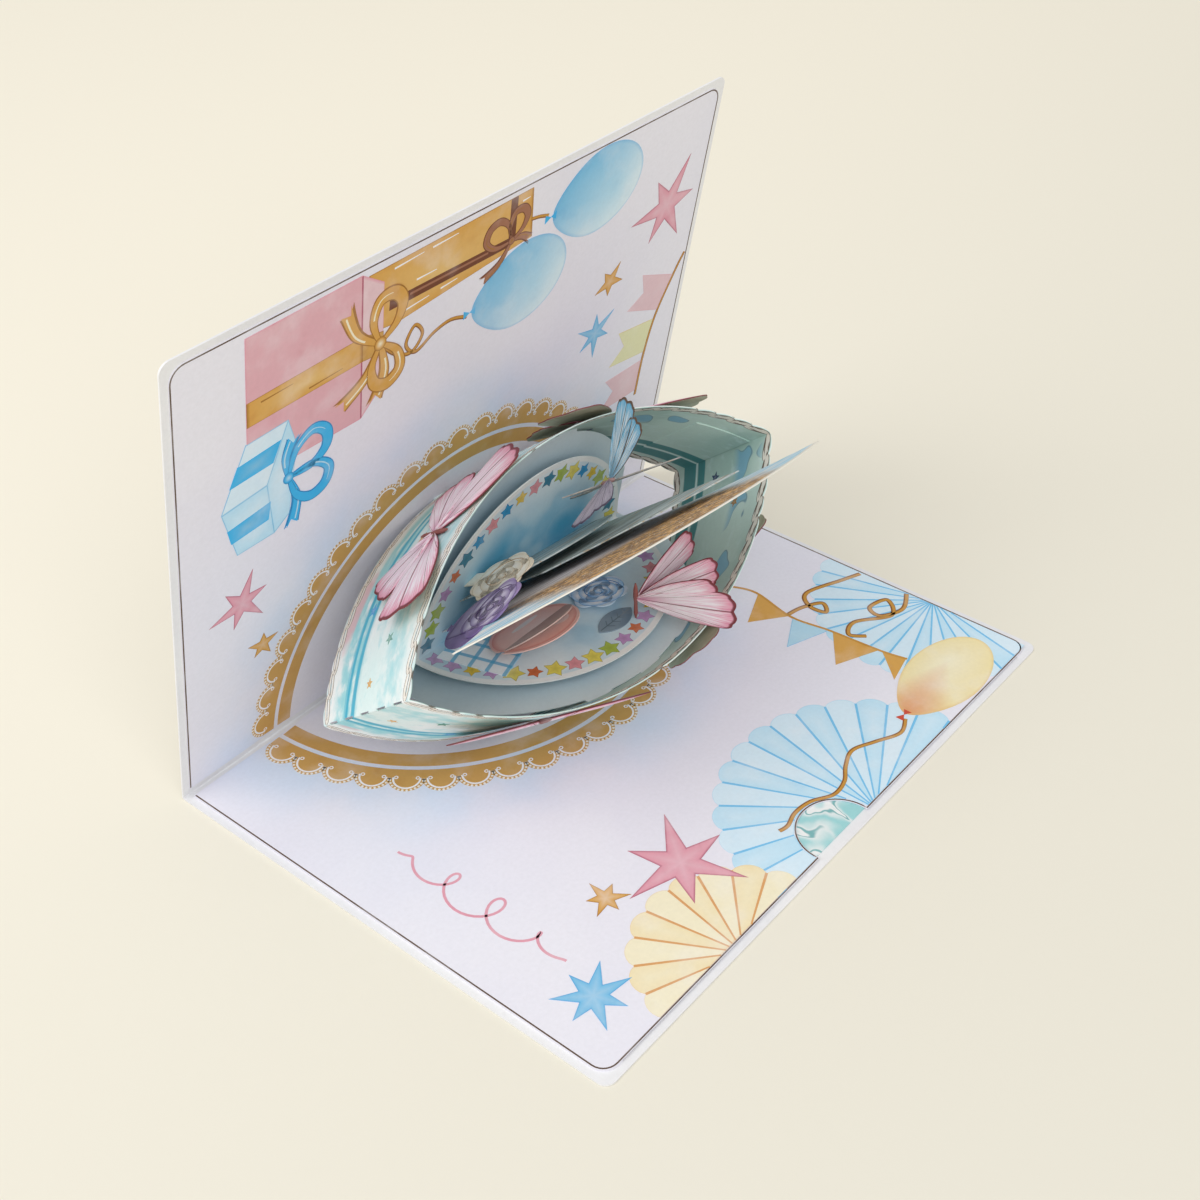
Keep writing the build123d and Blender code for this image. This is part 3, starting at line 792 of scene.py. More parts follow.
@dataclass(frozen=True)
class DiscFinish(Finish):
    """Creased disc with a pale rim and a wash that clears outwards and on its near half."""

    level: float = 44.5
    rim_radius: float = 41.6
    rim: Tint = (0.8, 0.82, 0.82)
    rim_soft: float = 0.5
    fade: float = 20.0
    fade_share: float = 0.62
    near: float = 0.0
    near_reach: Point = (2, 16)

    def colour(self, graph: Graph, vector: object) -> object:
        """Gives the wash inside the rim."""
        away = graph.vector("SUBTRACT", vector, (CARD.crease + CARD.rise * self.level) * MM)
        reach = graph.times(graph.vector("LENGTH", away), 1 / MM)
        pale = graph.times(graph.step(reach, self.rim_radius - self.fade, self.rim_radius), self.fade_share)
        towards = graph.times(graph.vector("DOT_PRODUCT", away, -CARD.to_back), 1 / MM)
        pale = graph.math("MAXIMUM", pale, graph.times(graph.step(towards, *self.near_reach), self.near))
        paper = graph.mix(pale, super().colour(graph, vector), self.rim)
        return graph.mix(graph.step(reach, self.rim_radius - self.rim_soft, self.rim_radius), paper, self.rim)


@dataclass(frozen=True)
class BrocadeFinish(Finish):
    """Upright panel with a gilt pattern, pale ends and an ivory cut edge."""

    offset: float = 0.0
    yaw: float = 5.0
    gilt: Tint = (0.78, 0.47, 0.18)
    shade: Tint = (0.3, 0.18, 0.1)
    ash: Tint = (0.8, 0.8, 0.84)
    dusk: Tint = (0.55, 0.48, 0.48)
    ends: Tint = (0.36, 0.66, 0.82)
    ivory: Tint = (0.84, 0.81, 0.72)
    gilt_depth: Point = (30, 42)
    end_reach: Point = (36, 52)
    crest: tuple[Point, Point, Point] = ((-70, 107), (0.0, 126), (65.5, 112))
    hem: float = 2.0
    hem_soft: float = 0.7

    def crest_circle(self) -> tuple[Point, float]:
        """Gives the centre and radius of the arc along the panel's upper edge."""
        (ax, ay), (bx, by), (cx, cy) = self.crest
        scale = 2 * (ax * (by - cy) + bx * (cy - ay) + cx * (ay - by))
        a, b, c = ax**2 + ay**2, bx**2 + by**2, cx**2 + cy**2
        x = (a * (by - cy) + b * (cy - ay) + c * (ay - by)) / scale
        y = (a * (cx - bx) + b * (ax - cx) + c * (bx - ax)) / scale
        return (x, y), hypot(ax - x, ay - y)

    def colour(self, graph: Graph, vector: object) -> object:
        """Gives the gilt field, the pale ends and the edge."""
        x, y, z = self.plane(graph, vector, CARD.upright(self.offset, self.yaw))
        spot = graph.combine(x, y, z)
        cells = graph.node("ShaderNodeTexVoronoi", {"Vector": spot, "Scale": 0.24}, feature="DISTANCE_TO_EDGE")
        line = graph.step(cells.outputs[0], 0.12, 0.03)
        patch = graph.step(graph.noise(spot, 0.3, 5), 0.4, 0.58)
        gilt = graph.over(graph.mix(patch, self.shade, self.gilt), self.shade, line, 0.75)
        gilt = graph.mix(graph.step(graph.noise(spot, 1.1, 2), 0.62, 0.68), gilt, self.ivory)
        centre, radius = self.crest_circle()
        away = graph.vector("SUBTRACT", graph.combine(x, y), (*centre, 0.0))
        below = graph.math("SUBTRACT", radius, graph.vector("LENGTH", away))
        lane = graph.noise(graph.combine(graph.times(x, 0.05), y, z), 0.55, 3)
        streak = graph.mix(graph.step(lane, 0.38, 0.62), self.dusk, self.ash)
        colour = graph.mix(graph.step(below, *self.gilt_depth), gilt, streak)
        pale = graph.mix(graph.step(lane, 0.44, 0.6), self.light, self.ends)
        ragged = graph.times(graph.noise(vector, 140, 2), 12)
        reach = graph.math("ADD", graph.math("ABSOLUTE", x), ragged)
        colour = graph.mix(graph.step(reach, *self.end_reach), colour, pale)
        return graph.mix(graph.step(below, self.hem, self.hem - self.hem_soft), colour, self.ivory)


@dataclass(frozen=True)
class StreakFinish(Finish):
    """Upright panel with streaks along it, gilt lines and white glints."""

    offset: float = 3.0
    yaw: float = 4.0
    gilt: Tint = (0.48, 0.36, 0.22)
    glint: Tint = (0.8, 0.83, 0.82)
    dusk: Tint = (0.1, 0.13, 0.13)

    def colour(self, graph: Graph, vector: object) -> object:
        """Gives the streaks."""
        x, y, z = self.plane(graph, vector, CARD.upright(self.offset, self.yaw))
        long_way = graph.combine(graph.times(x, 0.06), y, z)
        lane = graph.noise(long_way, 0.5, 4)
        paper = graph.mix(graph.step(lane, 0.35, 0.65), self.dark, self.light)
        paper = graph.over(paper, self.dusk, graph.step(lane, 0.4, 0.32), 0.7)
        line = graph.band(graph.noise(long_way, 0.22, 1), 0.52, 0.012, 0.008)
        paper = graph.over(paper, self.gilt, line, 0.8)
        shine = graph.noise(graph.combine(graph.times(x, 0.2), y, z), 0.8, 2)
        return graph.over(paper, self.glint, graph.step(shine, 0.66, 0.7), 0.8)


@dataclass(frozen=True)
class MarbledFinish(Finish):
    """Marbled note card."""

    vein: Tint = (0.05, 0.36, 0.38)

    def colour(self, graph: Graph, vector: object) -> object:
        """Gives the marbling."""
        drift = graph.combine(graph.times(graph.noise(vector, 55, 3), 0.03), 0.0)
        long_way = graph.vector("MULTIPLY", graph.vector("ADD", vector, drift), (1, 0.45, 1))
        swirl = graph.noise(long_way, 75, 2)
        paper = graph.mix(graph.step(swirl, 0.48, 0.62), self.light, self.dark)
        paper = graph.over(paper, self.dark, graph.band(swirl, 0.42, 0.03, 0.02), 0.6)
        return graph.over(paper, self.vein, graph.band(swirl, 0.5, 0.012, 0.008), 0.8)


@dataclass(frozen=True)
class GinghamFinish(Finish):
    """Checked tag."""

    pitch: float = 5.2
    turn: float = -17.0

    def colour(self, graph: Graph, vector: object) -> object:
        """Gives the checks."""
        x, y, _ = self.plane(graph, vector, CARD.panel(False, CARD.plate_level))
        turn = radians(self.turn)
        colour: object = self.light
        for a, b in ((cos(turn), sin(turn)), (-sin(turn), cos(turn))):
            along = graph.math("ADD", graph.times(x, a), graph.times(y, b))
            wave = graph.math("FRACT", graph.math("DIVIDE", along, self.pitch))
            colour = graph.over(colour, self.dark, graph.band(wave, 0.5, 0.11, 0.02), 0.8)
        return colour


@dataclass(frozen=True)
class InkFinish(Finish):
    """Printed ink that takes its colour from the print's tint."""

    depth: float = 0.22

    def colour(self, graph: Graph, vector: object) -> object:
        """Gives the tint with a watercolour mottle."""
        tint = graph.node("ShaderNodeAttribute", attribute_name="tint").outputs["Color"]
        dim = graph.node("ShaderNodeAttribute", attribute_name="dim").outputs["Vector"]
        tint = graph.mix(1, tint, graph.vector("SUBTRACT", (1, 1, 1), dim), "MULTIPLY")
        pale = graph.over(tint, Ink.WHITE, graph.step(graph.noise(vector, 95, 4), 0.45, 0.75), self.depth)
        dark = graph.step(graph.noise(vector, 140, 3), 0.55, 0.8)
        return graph.over(pale, graph.mix(1, tint, tint, "MULTIPLY"), dark, self.depth)


@dataclass(frozen=True)
class WingFinish(Finish):
    """Butterfly wing: veins from its root, a pale field and a dark edge."""

    root: Tint = (0.62, 0.22, 0.36)
    rim: Tint = (0.74, 0.25, 0.37)
    line: Tint = (0.2, 0.04, 0.05)
    veins: float = 5.0

    def colour(self, graph: Graph, vector: object) -> object:
        """Gives the wing's colour from its own map: u from root to tip, v across."""
        u, v, _ = graph.split(graph.node("ShaderNodeUVMap", uv_map="UVMap").outputs[0])
        streak = graph.noise(graph.combine(graph.times(u, 1.5), graph.times(v, 26)), 2.2, 3)
        paper = graph.mix(graph.step(streak, 0.4, 0.66), self.light, self.dark)
        shade = graph.math("ADD", u, graph.times(graph.math("SUBTRACT", streak, 0.5), 0.45))
        paper = graph.over(paper, self.root, graph.step(shade, 0.42, 0.02), 0.85)
        paper = graph.over(paper, self.rim, graph.step(shade, 0.7, 1.05), 0.95)
        lane = graph.math("FRACT", graph.times(v, self.veins))
        thin = graph.math("DIVIDE", 0.026, graph.math("ADD", u, 0.25))
        vein = graph.math("LESS_THAN", graph.math("ABSOLUTE", graph.math("SUBTRACT", lane, 0.5)), thin)
        return graph.mix(graph.step(u, 0.955, 0.98), graph.over(paper, self.line, vein, 0.8), self.line)


class Finishes:
    """The materials, made once."""

    LOOKS = (
        Finish("cover_finish", (0.86, 0.86, 0.87), (0.8, 0.8, 0.83), 14, 0.42, coat=0.05),
        LinerFinish("liner_finish", (0.83, 0.82, 0.89), (0.79, 0.78, 0.87), 16),
        MarbledFinish("marbled_finish", (0.86, 0.88, 0.88), (0.34, 0.66, 0.68)),
        WallFinish("wall_finish", (0.92, 0.94, 0.93), (0.7, 0.87, 0.85)),
        DiscFinish("floor_finish", (0.56, 0.68, 0.74), (0.46, 0.6, 0.68), 30, level=37, rim_radius=60),
        DiscFinish("plate_finish", (0.6, 0.8, 0.9), (0.1, 0.44, 0.68), 38, near=0.25),
        BrocadeFinish("brocade_finish", (0.84, 0.87, 0.88), (0.62, 0.78, 0.84), 40),
        StreakFinish("green_finish", (0.62, 0.7, 0.7), (0.36, 0.43, 0.44)),
        StreakFinish("stem_finish", (0.52, 0.5, 0.47), (0.3, 0.28, 0.27), offset=19, yaw=13.7),
        WingFinish("blue_wing_finish", (0.72, 0.82, 0.87), (0.07, 0.36, 0.58), root=(0.1, 0.3, 0.45),
                   rim=(0.09, 0.42, 0.66), line=(0.14, 0.09, 0.06)),
        # near wing of the blue butterfly: lilac print, darkened and greyed with painted shade because it faces
        # away from the light
        WingFinish("lilac_wing_finish", (0.56, 0.5, 0.58), (0.3, 0.26, 0.36), root=(0.2, 0.17, 0.26),
                   rim=(0.36, 0.34, 0.42), line=(0.1, 0.08, 0.13)),
        WingFinish("pink_wing_finish", (0.91, 0.83, 0.88), (0.82, 0.56, 0.67)),
        # wing backs: olive-brown tint, darkened with painted shade for the side turned away from the light
        Finish("wing_back_finish", (0.54, 0.52, 0.4), (0.38, 0.36, 0.26), 90),
        Finish("purple_finish", (0.4, 0.31, 0.55), (0.22, 0.15, 0.36), 60),
        Finish("cream_finish", (0.96, 0.89, 0.76), (0.86, 0.75, 0.58), 60),
        Finish("blue_print_finish", (0.7, 0.82, 0.93), (0.4, 0.6, 0.82), 70),
        Finish("pink_finish", (0.95, 0.66, 0.61), (0.88, 0.5, 0.45), 40, 0.4),
        Finish("slice_finish", (0.74, 0.55, 0.51), (0.58, 0.4, 0.37), 60),
        Finish("leaf_finish", (0.25, 0.33, 0.4), (0.13, 0.19, 0.26), 80),
        GinghamFinish("gingham_finish", (0.87, 0.93, 0.97), (0.1, 0.45, 0.72)),
        InkFinish("ink_finish", Ink.WHITE, Ink.WHITE),
        # table: the step between its two colours is painted light, not the table's own tone
        TableFinish("table_finish", (0.93, 0.88, 0.75), (0.8, 0.77, 0.67), roughness=0.9, grain_depth=0.0,
                    bump=0.0),
    )

    def __init__(self) -> None:
        """Builds every finish."""
        self.made = {look.name: look.build() for look in self.LOOKS}

    def __getitem__(self, name: str) -> Material:
        """Gives a finish by its name."""
        return self.made[name]


class Repeat(Enum):
    """Ways in which a small unit repeats."""

    ARC = "arc"
    LINE = "line"


@dataclass(frozen=True)
class Repeater:
    """Geometry nodes that repeat a unit along an arc or a line."""

    way: Repeat
    palette: tuple[Tint, ...] = ()
    seed: int = 7
    sizes: Point = (1, 1)

    ARC_STEPS = 128
    INPUTS = {"Unit": "Object", "Count": "Int", "Radius": "Float", "Start": "Float", "Sweep": "Float",
              "Finish": "Material"}

    def _tree(self, name: str) -> tuple[Tree, dict[str, str]]:
        """Builds the node tree and gives it with its inputs' identifiers."""
        tree = bpy.data.node_groups.new(name, "GeometryNodeTree")
        tree.is_modifier = True
        sockets = {}
        for key, kind in self.INPUTS.items():
            socket = tree.interface.new_socket(name=key, in_out="INPUT", socket_type="NodeSocket" + kind)
            sockets[key] = socket.identifier
        tree.interface.new_socket(name="Geometry", in_out="OUTPUT", socket_type="NodeSocketGeometry")
        graph = Graph(tree)
        source = graph.node("NodeGroupInput").outputs
        feed = self._arc(graph, source) if self.way is Repeat.ARC else self._line(graph, source)
        feed["Instance"] = graph.node("GeometryNodeObjectInfo", {"Object": source["Unit"]}).outputs["Geometry"]
        feed["Scale"] = self._random(graph, *self.sizes)
        geometry = graph.node("GeometryNodeInstanceOnPoints", feed).outputs["Instances"]
        if self.palette:
            geometry = self._tinted(graph, geometry)
        geometry = graph.node("GeometryNodeRealizeInstances", {"Geometry": geometry}).outputs["Geometry"]
        feed = {"Geometry": geometry, "Material": source["Finish"]}
        geometry = graph.node("GeometryNodeSetMaterial", feed).outputs["Geometry"]
        graph.node("NodeGroupOutput", {"Geometry": geometry})
        return tree, sockets

    def _arc(self, graph: Graph, source: Sockets) -> dict[str, Socket]:
        """Gives places on an arc, each facing outwards."""
        feed = {"Resolution": self.ARC_STEPS, "Radius": source["Radius"], "Start Angle": source["Start"],
                "Sweep Angle": source["Sweep"]}
        feed = {"Curve": graph.node("GeometryNodeCurveArc", feed).outputs["Curve"], "Count": source["Count"]}
        spots = graph.node("GeometryNodeCurveToPoints", feed, mode="COUNT")
        feed = {"Vector": graph.node("GeometryNodeInputPosition").outputs[0]}
        aim = graph.node("FunctionNodeAlignRotationToVector", feed, axis="Y", pivot_axis="Z")
        return {"Points": spots.outputs["Points"], "Rotation": aim.outputs["Rotation"]}

    def _line(self, graph: Graph, source: Sockets) -> dict[str, Socket]:
        """Gives places on a straight line; Radius is the height, Sweep the step."""
        feed = {"Count": source["Count"], "Start Location": graph.combine(source["Start"], source["Radius"]),
                "Offset": graph.combine(source["Sweep"], 0.0)}
        return {"Points": graph.node("GeometryNodeMeshLine", feed).outputs["Mesh"]}

    def _random(self, graph: Graph, low: float, high: float) -> Socket:
        """Gives each unit a value between two bounds."""
        pick = graph.node("FunctionNodeRandomValue", data_type="FLOAT")
        values = {"Min": low, "Max": high, "Seed": self.seed}
        for socket in pick.inputs:
            if socket.enabled and socket.name in values:
                socket.default_value = values[socket.name]
        return next(socket for socket in pick.outputs if socket.enabled)

    def _tinted(self, graph: Graph, geometry: object) -> Socket:
        """Gives each unit a tint of the palette."""
        ramp = graph.node("ShaderNodeValToRGB", {"Fac": self._random(graph, 0.0, 1)})
        ramp.color_ramp.interpolation = "CONSTANT"
        elements = ramp.color_ramp.elements
        while len(elements) < len(self.palette):
            elements.new(0.5)
        for i, tint in enumerate(self.palette):
            elements[i].position = i / len(self.palette)
            elements[i].color = (*tint, 1)
        feed = {"Geometry": geometry, "Name": "tint"}
        store = graph.node("GeometryNodeStoreNamedAttribute", feed, data_type="FLOAT_COLOR", domain="INSTANCE")
        target = next(socket for socket in store.inputs if socket.name == "Value" and socket.enabled)
        graph.put(target, ramp.outputs["Color"])
        return store.outputs["Geometry"]

    def make(self, unit: InkSheet, count: int, radius: float, start: float, sweep: float, material: Material,
             mapper: Mapper) -> None:
        """Repeats a unit and lays the result on the card.

        Args:
            unit: The unit, drawn flat around the origin in millimetres.
            count: How many units.
            radius: Radius of the arc, or height of the line.
            start: Start of the arc in radians, or of the line.
            sweep: Angle of the arc in radians, or step of the line.
            material: Finish of the result.
            mapper: Map from flat places to the card.
        """
        layer = "dim" if self.palette else "tint"
        shape = tinted_mesh(unit.name + "_unit", unit.points, unit.faces, unit.tints, layer)
        one = new_object(shape.name, shape)
        carrier = new_object(unit.name + "_carrier", bpy.data.meshes.new(unit.name + "_carrier"))
        tree, sockets = self._tree(unit.name)
        modifier = carrier.modifiers.new("repeat", "NODES")
        modifier.node_group = tree
        for key, value in zip(self.INPUTS, (one, count, radius, start, sweep, material)):
            modifier[sockets[key]] = value
        carrier.update_tag()
        bpy.context.view_layer.update()
        evaluated = carrier.evaluated_get(bpy.context.evaluated_depsgraph_get())
        mesh = bpy.data.meshes.new_from_object(evaluated)
        carrier.modifiers.remove(modifier)
        for item in (one, carrier):
            bpy.data.objects.remove(item)
        for vertex in mesh.vertices:
            vertex.co = mapper(*vertex.co)
        mesh.name = unit.name
        finish_piece(unit.name, mesh, material)


def flat(x: float, y: float, lift: float) -> Vector:
    """Keeps a flat place as it is, for a unit that is laid later."""
    return Vector((x, y, lift))


@dataclass(frozen=True)
class BalloonInk:
    """Colours of a balloon; depth says how the deep colour goes with length and side."""

    deep: Tint
    pale: Tint
    core: Tint
    rim: Tint
    knot: Tint
    depth: tuple[float, float, float]


class Picture(InkSheet):
    """Sheet that takes the small pictures of the print."""

    BALLOON_STEPS = 48
    KNOT_HALF = 1.3

    def star(self, centre: Point, radius: float, points: int, turn: float, edge: Tint, body: Tint,
             inner: float = 0.36, uneven: float = 0.22, level: int = 2) -> None:
        """Prints a star with uneven rays.

        Args:
            centre: The star's middle.
            radius: Length of its longest ray.
            points: How many rays.
            turn: Angle of the first ray in degrees.
            edge: Colour on its outline.
            body: Colour inside.
            inner: Radius between rays, as a share.
            uneven: How much shorter every other ray is, as a share.
            level: Print level.
        """
        loop = []
        for i in range(2 * points):
            ray = radius * (1 - uneven * ((i // 2) % 2)) if i % 2 == 0 else radius * inner
            angle = radians(turn) + pi * i / points
            loop.append((centre[0] + ray * cos(angle), centre[1] + ray * sin(angle)))
        self.wash(loop, edge, body, blend(body, Ink.WHITE, 0.25), level, centre, 0.85)

    def cord(self, points: Sequence[Point], width: float, level: int) -> None:
        """Prints a gilt cord with a dark underside."""
        path = smooth_path(points, 8)
        self.stroke(path, width, Ink.STRING_DARK, level)
        self.stroke([(x, y + width * 0.14) for x, y in path], width * 0.62, Ink.STRING, level + 1)

    def balloon(self, centre: Point, half_length: float, half_width: float, ink: BalloonInk,
                level: int) -> None:
        """Prints a balloon that lies along the crease and narrows to its knot on the left.

        Args:
            centre: The balloon's middle.
            half_length: Half its length.
            half_width: Half its width.
            ink: Its colours.
            level: Print level.
        """
        loop, edges, bodies = [], [], []
        for i in range(self.BALLOON_STEPS):
            turn = 2 * pi * i / self.BALLOON_STEPS
            along, side = cos(turn), sin(turn)
            slim = 1 if along > 0 else 1 - 0.3 * along**2
            stretch = 1 if along > 0 else 1.12
            loop.append((centre[0] + half_length * along * stretch, centre[1] + half_width * side * slim))
            body = blend(ink.pale, ink.deep, ink.depth[0] - ink.depth[1] * along + ink.depth[2] * side)
            bodies.append(body)
            edges.append(blend(body, ink.rim, 0.45))
        bright = (centre[0] + half_length * 0.3, centre[1] - half_width * 0.22)
        self.wash(loop, edges, bodies, ink.core, level, bright, 0.93)
        foot = centre[0] - half_length * 1.1
        for end in (foot + 0.9, foot - 3.4):
            sides = [(end, centre[1] + half) for half in (self.KNOT_HALF, -self.KNOT_HALF)]
            self.fill([(foot - 1.1, centre[1]), *sides], ink.knot, level + 2)

    def bow(self, centre: Point, loops: Sequence[Point], tails: Sequence[Point], width: float,
            tints: Tints, level: int) -> None:
        """Prints a ribbon bow.

        Args:
            centre: The bow's knot.
            loops: Far ends of its loops.
            tails: Far ends of its tails.
            width: Width of the ribbon.
            tints: Colours of the ribbon, its shaded side and its light.
            level: Print level.
        """
        tint, shade, shine = tints
        middle = Vector(centre)
        for far in tails:
            way = Vector(far) - middle
            side = Vector((-way.y, way.x)).normalized()
            bend = middle + way * 0.5 + side * way.length * 0.13
            spine = [Vector(p) for p in smooth_path([centre, tuple(bend), tuple(far)], 8)]
            count = len(spine) - 1
            halves = [width * (0.26 + 0.58 * i / count) for i in range(count + 1)]
            left = [p + side * h for p, h in zip(spine, halves)]
            right = [p - side * h for p, h in zip(spine, halves)]
            notch = spine[-1] - way.normalized() * width * 0.7
            self.fill([(p.x, p.y) for p in (*left, notch, *reversed(right))], shade, level)
            left = [p - side * h * 0.2 for p, h in zip(left, halves)]
            right = [p + side * h * 0.35 for p, h in zip(right, halves)]
            self.fill([(p.x, p.y) for p in (*left, notch, *reversed(right))], tint, level + 1)
            glint = [(p.x + side.x * h * 0.35, p.y + side.y * h * 0.35) for p, h in zip(spine, halves)]
            self.stroke(glint[count // 3:-2], width * 0.16, shine, level + 2)
        for far in loops:
            way = Vector(far) - middle
            side = Vector((-way.y, way.x)) * 0.4
            path = [middle, middle + way * 0.42 + side * 0.8, middle + way * 0.86 + side * 0.8, middle + way,
                    middle + way * 0.8 - side * 0.7, middle + way * 0.4 - side * 0.7, middle]
            points = smooth_path([(p.x, p.y) for p in path], 7)
            count = len(points) - 1
            swell = [sin(pi * i / count) for i in range(count + 1)]
            self.stroke(points, [width * (0.34 + 0.96 * t) for t in swell], shade, level + 2)
            self.stroke(points, [width * (0.22 + 0.86 * t) for t in swell], tint, level + 3)
            self.stroke(points[count // 5:count // 2], width * 0.16, shine, level + 4, end_width=width * 0.05)
        knot = arc_points(centre, width * 0.62, 0, 330, 12)
        self.wash(knot, shade, tint, shine, level + 5, rim=0.7)

    def fan(self, centre: Point, radius: float, start: float, end: float, blades: int, tints: Tints,
            box: Box, hole: Hole | None = None, level: int = 0) -> None:
        """Prints a pleated paper fan.

        Args:
            centre: The fan's pivot.
            radius: Its reach.
            start: Angle of its first edge in degrees.
            end: Angle of its last edge in degrees.
            blades: How many pleats.
            tints: Colours of the pale pleats, the deep pleats and the folds.
            box: Low x, low y, high x and high y of the paper, where the fan is cut off.
            hole: Centre and radius of a notch to keep clear of, or None.
            level: Print level.
        """
        pale, deep, line = tints
        pitch = (end - start) / blades
        for i in range(blades):
            first = start + pitch * i
            bulge = sin(radians(abs(pitch) / 2)) * 0.45
            loop = []
            for k, (x, y) in enumerate(arc_points(centre, radius, first, first + pitch, 9)):
                grow = 1 + bulge * sin(pi * k / 8) ** 0.7
                loop.append((centre[0] + (x - centre[0]) * grow, centre[1] + (y - centre[1]) * grow))
            roots = [clear_start(centre, first + pitch, radius, hole), clear_start(centre, first, radius, hole)]
            loop = clip_to_box(loop + roots, box)
            if len(loop) > 2:
                body = blend(pale, deep, 0.15 + 0.7 * (i % 2))
                self.wash(loop, blend(body, line, 0.35), body, blend(body, pale, 0.6), level, rim=0.96)
        for i in range(blades + 1):
            angle = start + pitch * i
            near = clear_start(centre, angle, radius, hole)
            far = arc_points(centre, radius, angle, angle, 2)[0]
            ends = clip_line_to_box(near, far, box)
            if ends:
                self.stroke(ends, 0.45, line, level + 1, end_width=0.75)


def clear_start(centre: Point, angle: float, radius: float, hole: Hole | None) -> Point:
    """Gives where a ray may start so that it keeps clear of a round notch.

    Args:
        centre: Start of the ray.
        angle: Its angle in degrees.
        radius: Its length.
        hole: Centre and radius of the notch, or None.

    Returns:
        The start of its printed stretch.
    """
    way = Vector((cos(radians(angle)), sin(radians(angle))))
    reach = 0.5
    if hole:
        away = Vector(hole[0]) - Vector(centre)
        along = away.dot(way)
        gap = away.length_squared - along**2
        clear = hole[1] + 0.5
        if along > 0 and gap < clear**2:
            reach = min(along + sqrt(clear**2 - gap), radius * 0.95)
    return centre[0] + way.x * reach, centre[1] + way.y * reach


def box_sides(box: Box) -> tuple[tuple[int, float, int], ...]:
    """Gives each side of a box as its axis, its place and the sign of its inside."""
    return (0, box[0], 1), (1, box[1], 1), (0, box[2], -1), (1, box[3], -1)


def clip_to_box(loop: Sequence[Point], box: Box) -> list[Point]:
    """Cuts an outline off at the edges of the paper.

    Args:
        loop: The outline.
        box: Low x, low y, high x and high y of the paper.

    Returns:
        What is left of it.
    """
    points = list(loop)
    for axis, limit, sign in box_sides(box):
        kept: list[Point] = []
        for i, here in enumerate(points):
            last = points[i - 1]
            inside = sign * (here[axis] - limit) >= 0
            if inside != (sign * (last[axis] - limit) >= 0):
                share = (limit - last[axis]) / (here[axis] - last[axis])
                kept.append((last[0] + (here[0] - last[0]) * share, last[1] + (here[1] - last[1]) * share))
            if inside:
                kept.append(here)
        points = kept
    return points


def clip_line_to_box(near: Point, far: Point, box: Box) -> list[Point]:
    """Cuts a straight line off at the edges of the paper.

    Args:
        near: Start of the line.
        far: Its end.
        box: Low x, low y, high x and high y of the paper.

    Returns:
        The two ends of what is left, or nothing.
    """
    start, end = 0.0, 1
    for axis, limit, sign in box_sides(box):
        gap, pace = sign * (near[axis] - limit), sign * (far[axis] - near[axis])
        if pace > 0:
            start = max(start, -gap / pace)
        elif pace < 0:
            end = min(end, -gap / pace)
    if end - start < 0.05:
        return []
    return [(near[0] + (far[0] - near[0]) * t, near[1] + (far[1] - near[1]) * t) for t in (start, end)]


@dataclass
class Doily:
    """Gilt lace ring printed around the crease."""

    inner_band: Point = (61.6, 66.3)
    outer_band: Point = (67.7, 71.2)
    scallops: int = 23
    lobe: float = 5.3
    arch: float = 3.75
    bead_ring: float = 4.68
    bead: float = 0.40
    trim: float = 2.4

    def unit(self, name: str) -> InkSheet:
        """Draws one scallop, with its foot on the x axis and y outwards."""
        sheet = InkSheet(name, flat)
        sheet.fill(arc_points((0, -0.4), self.lobe, 4, 176, 17), Ink.GOLD, 1)
        sheet.stroke(arc_points((0, 0), self.arch, -6, 186, 17), 0.55, Ink.WHITE, 2)
        for end in (-1, 1):
            curl = arc_points((end * (self.arch - 0.75), -0.35), 0.5, 0, 315, 8)
            sheet.stroke(curl, 0.32, Ink.WHITE, 2, closed=True)
        beads = 12
        for i in range(beads):
            angle = 10 + 160 * i / (beads - 1)
            spot = arc_points((0, -0.1), self.bead_ring, angle, angle, 2)[0]
            sheet.fill(arc_points(spot, self.bead, 0, 300, 6), Ink.LACE, 2)
        return sheet

    def build(self, name: str, face: Face, material: Material) -> None:
        """Prints the half ring on one panel.

        Args:
            name: Start of the pieces' names.
            face: The panel's printed face.
            material: The ink.
        """
        bands = InkSheet(name + "_bands", face.place)
        for low, high in (self.inner_band, self.outer_band):
            middle = (low + high) / 2
            edge = degrees(asin(self.trim / middle))
            bands.stroke(arc_points((0, 0), middle, edge, 180 - edge, 73), high - low, Ink.GOLD, 1)
        bands.build(material)
        radius = self.outer_band[1]
        edge = asin((self.trim + self.lobe) / radius)
        unit = self.unit(name + "_scallops")
        Repeater(Repeat.ARC).make(unit, self.scallops, radius, edge, pi - 2 * edge, material, face.place)


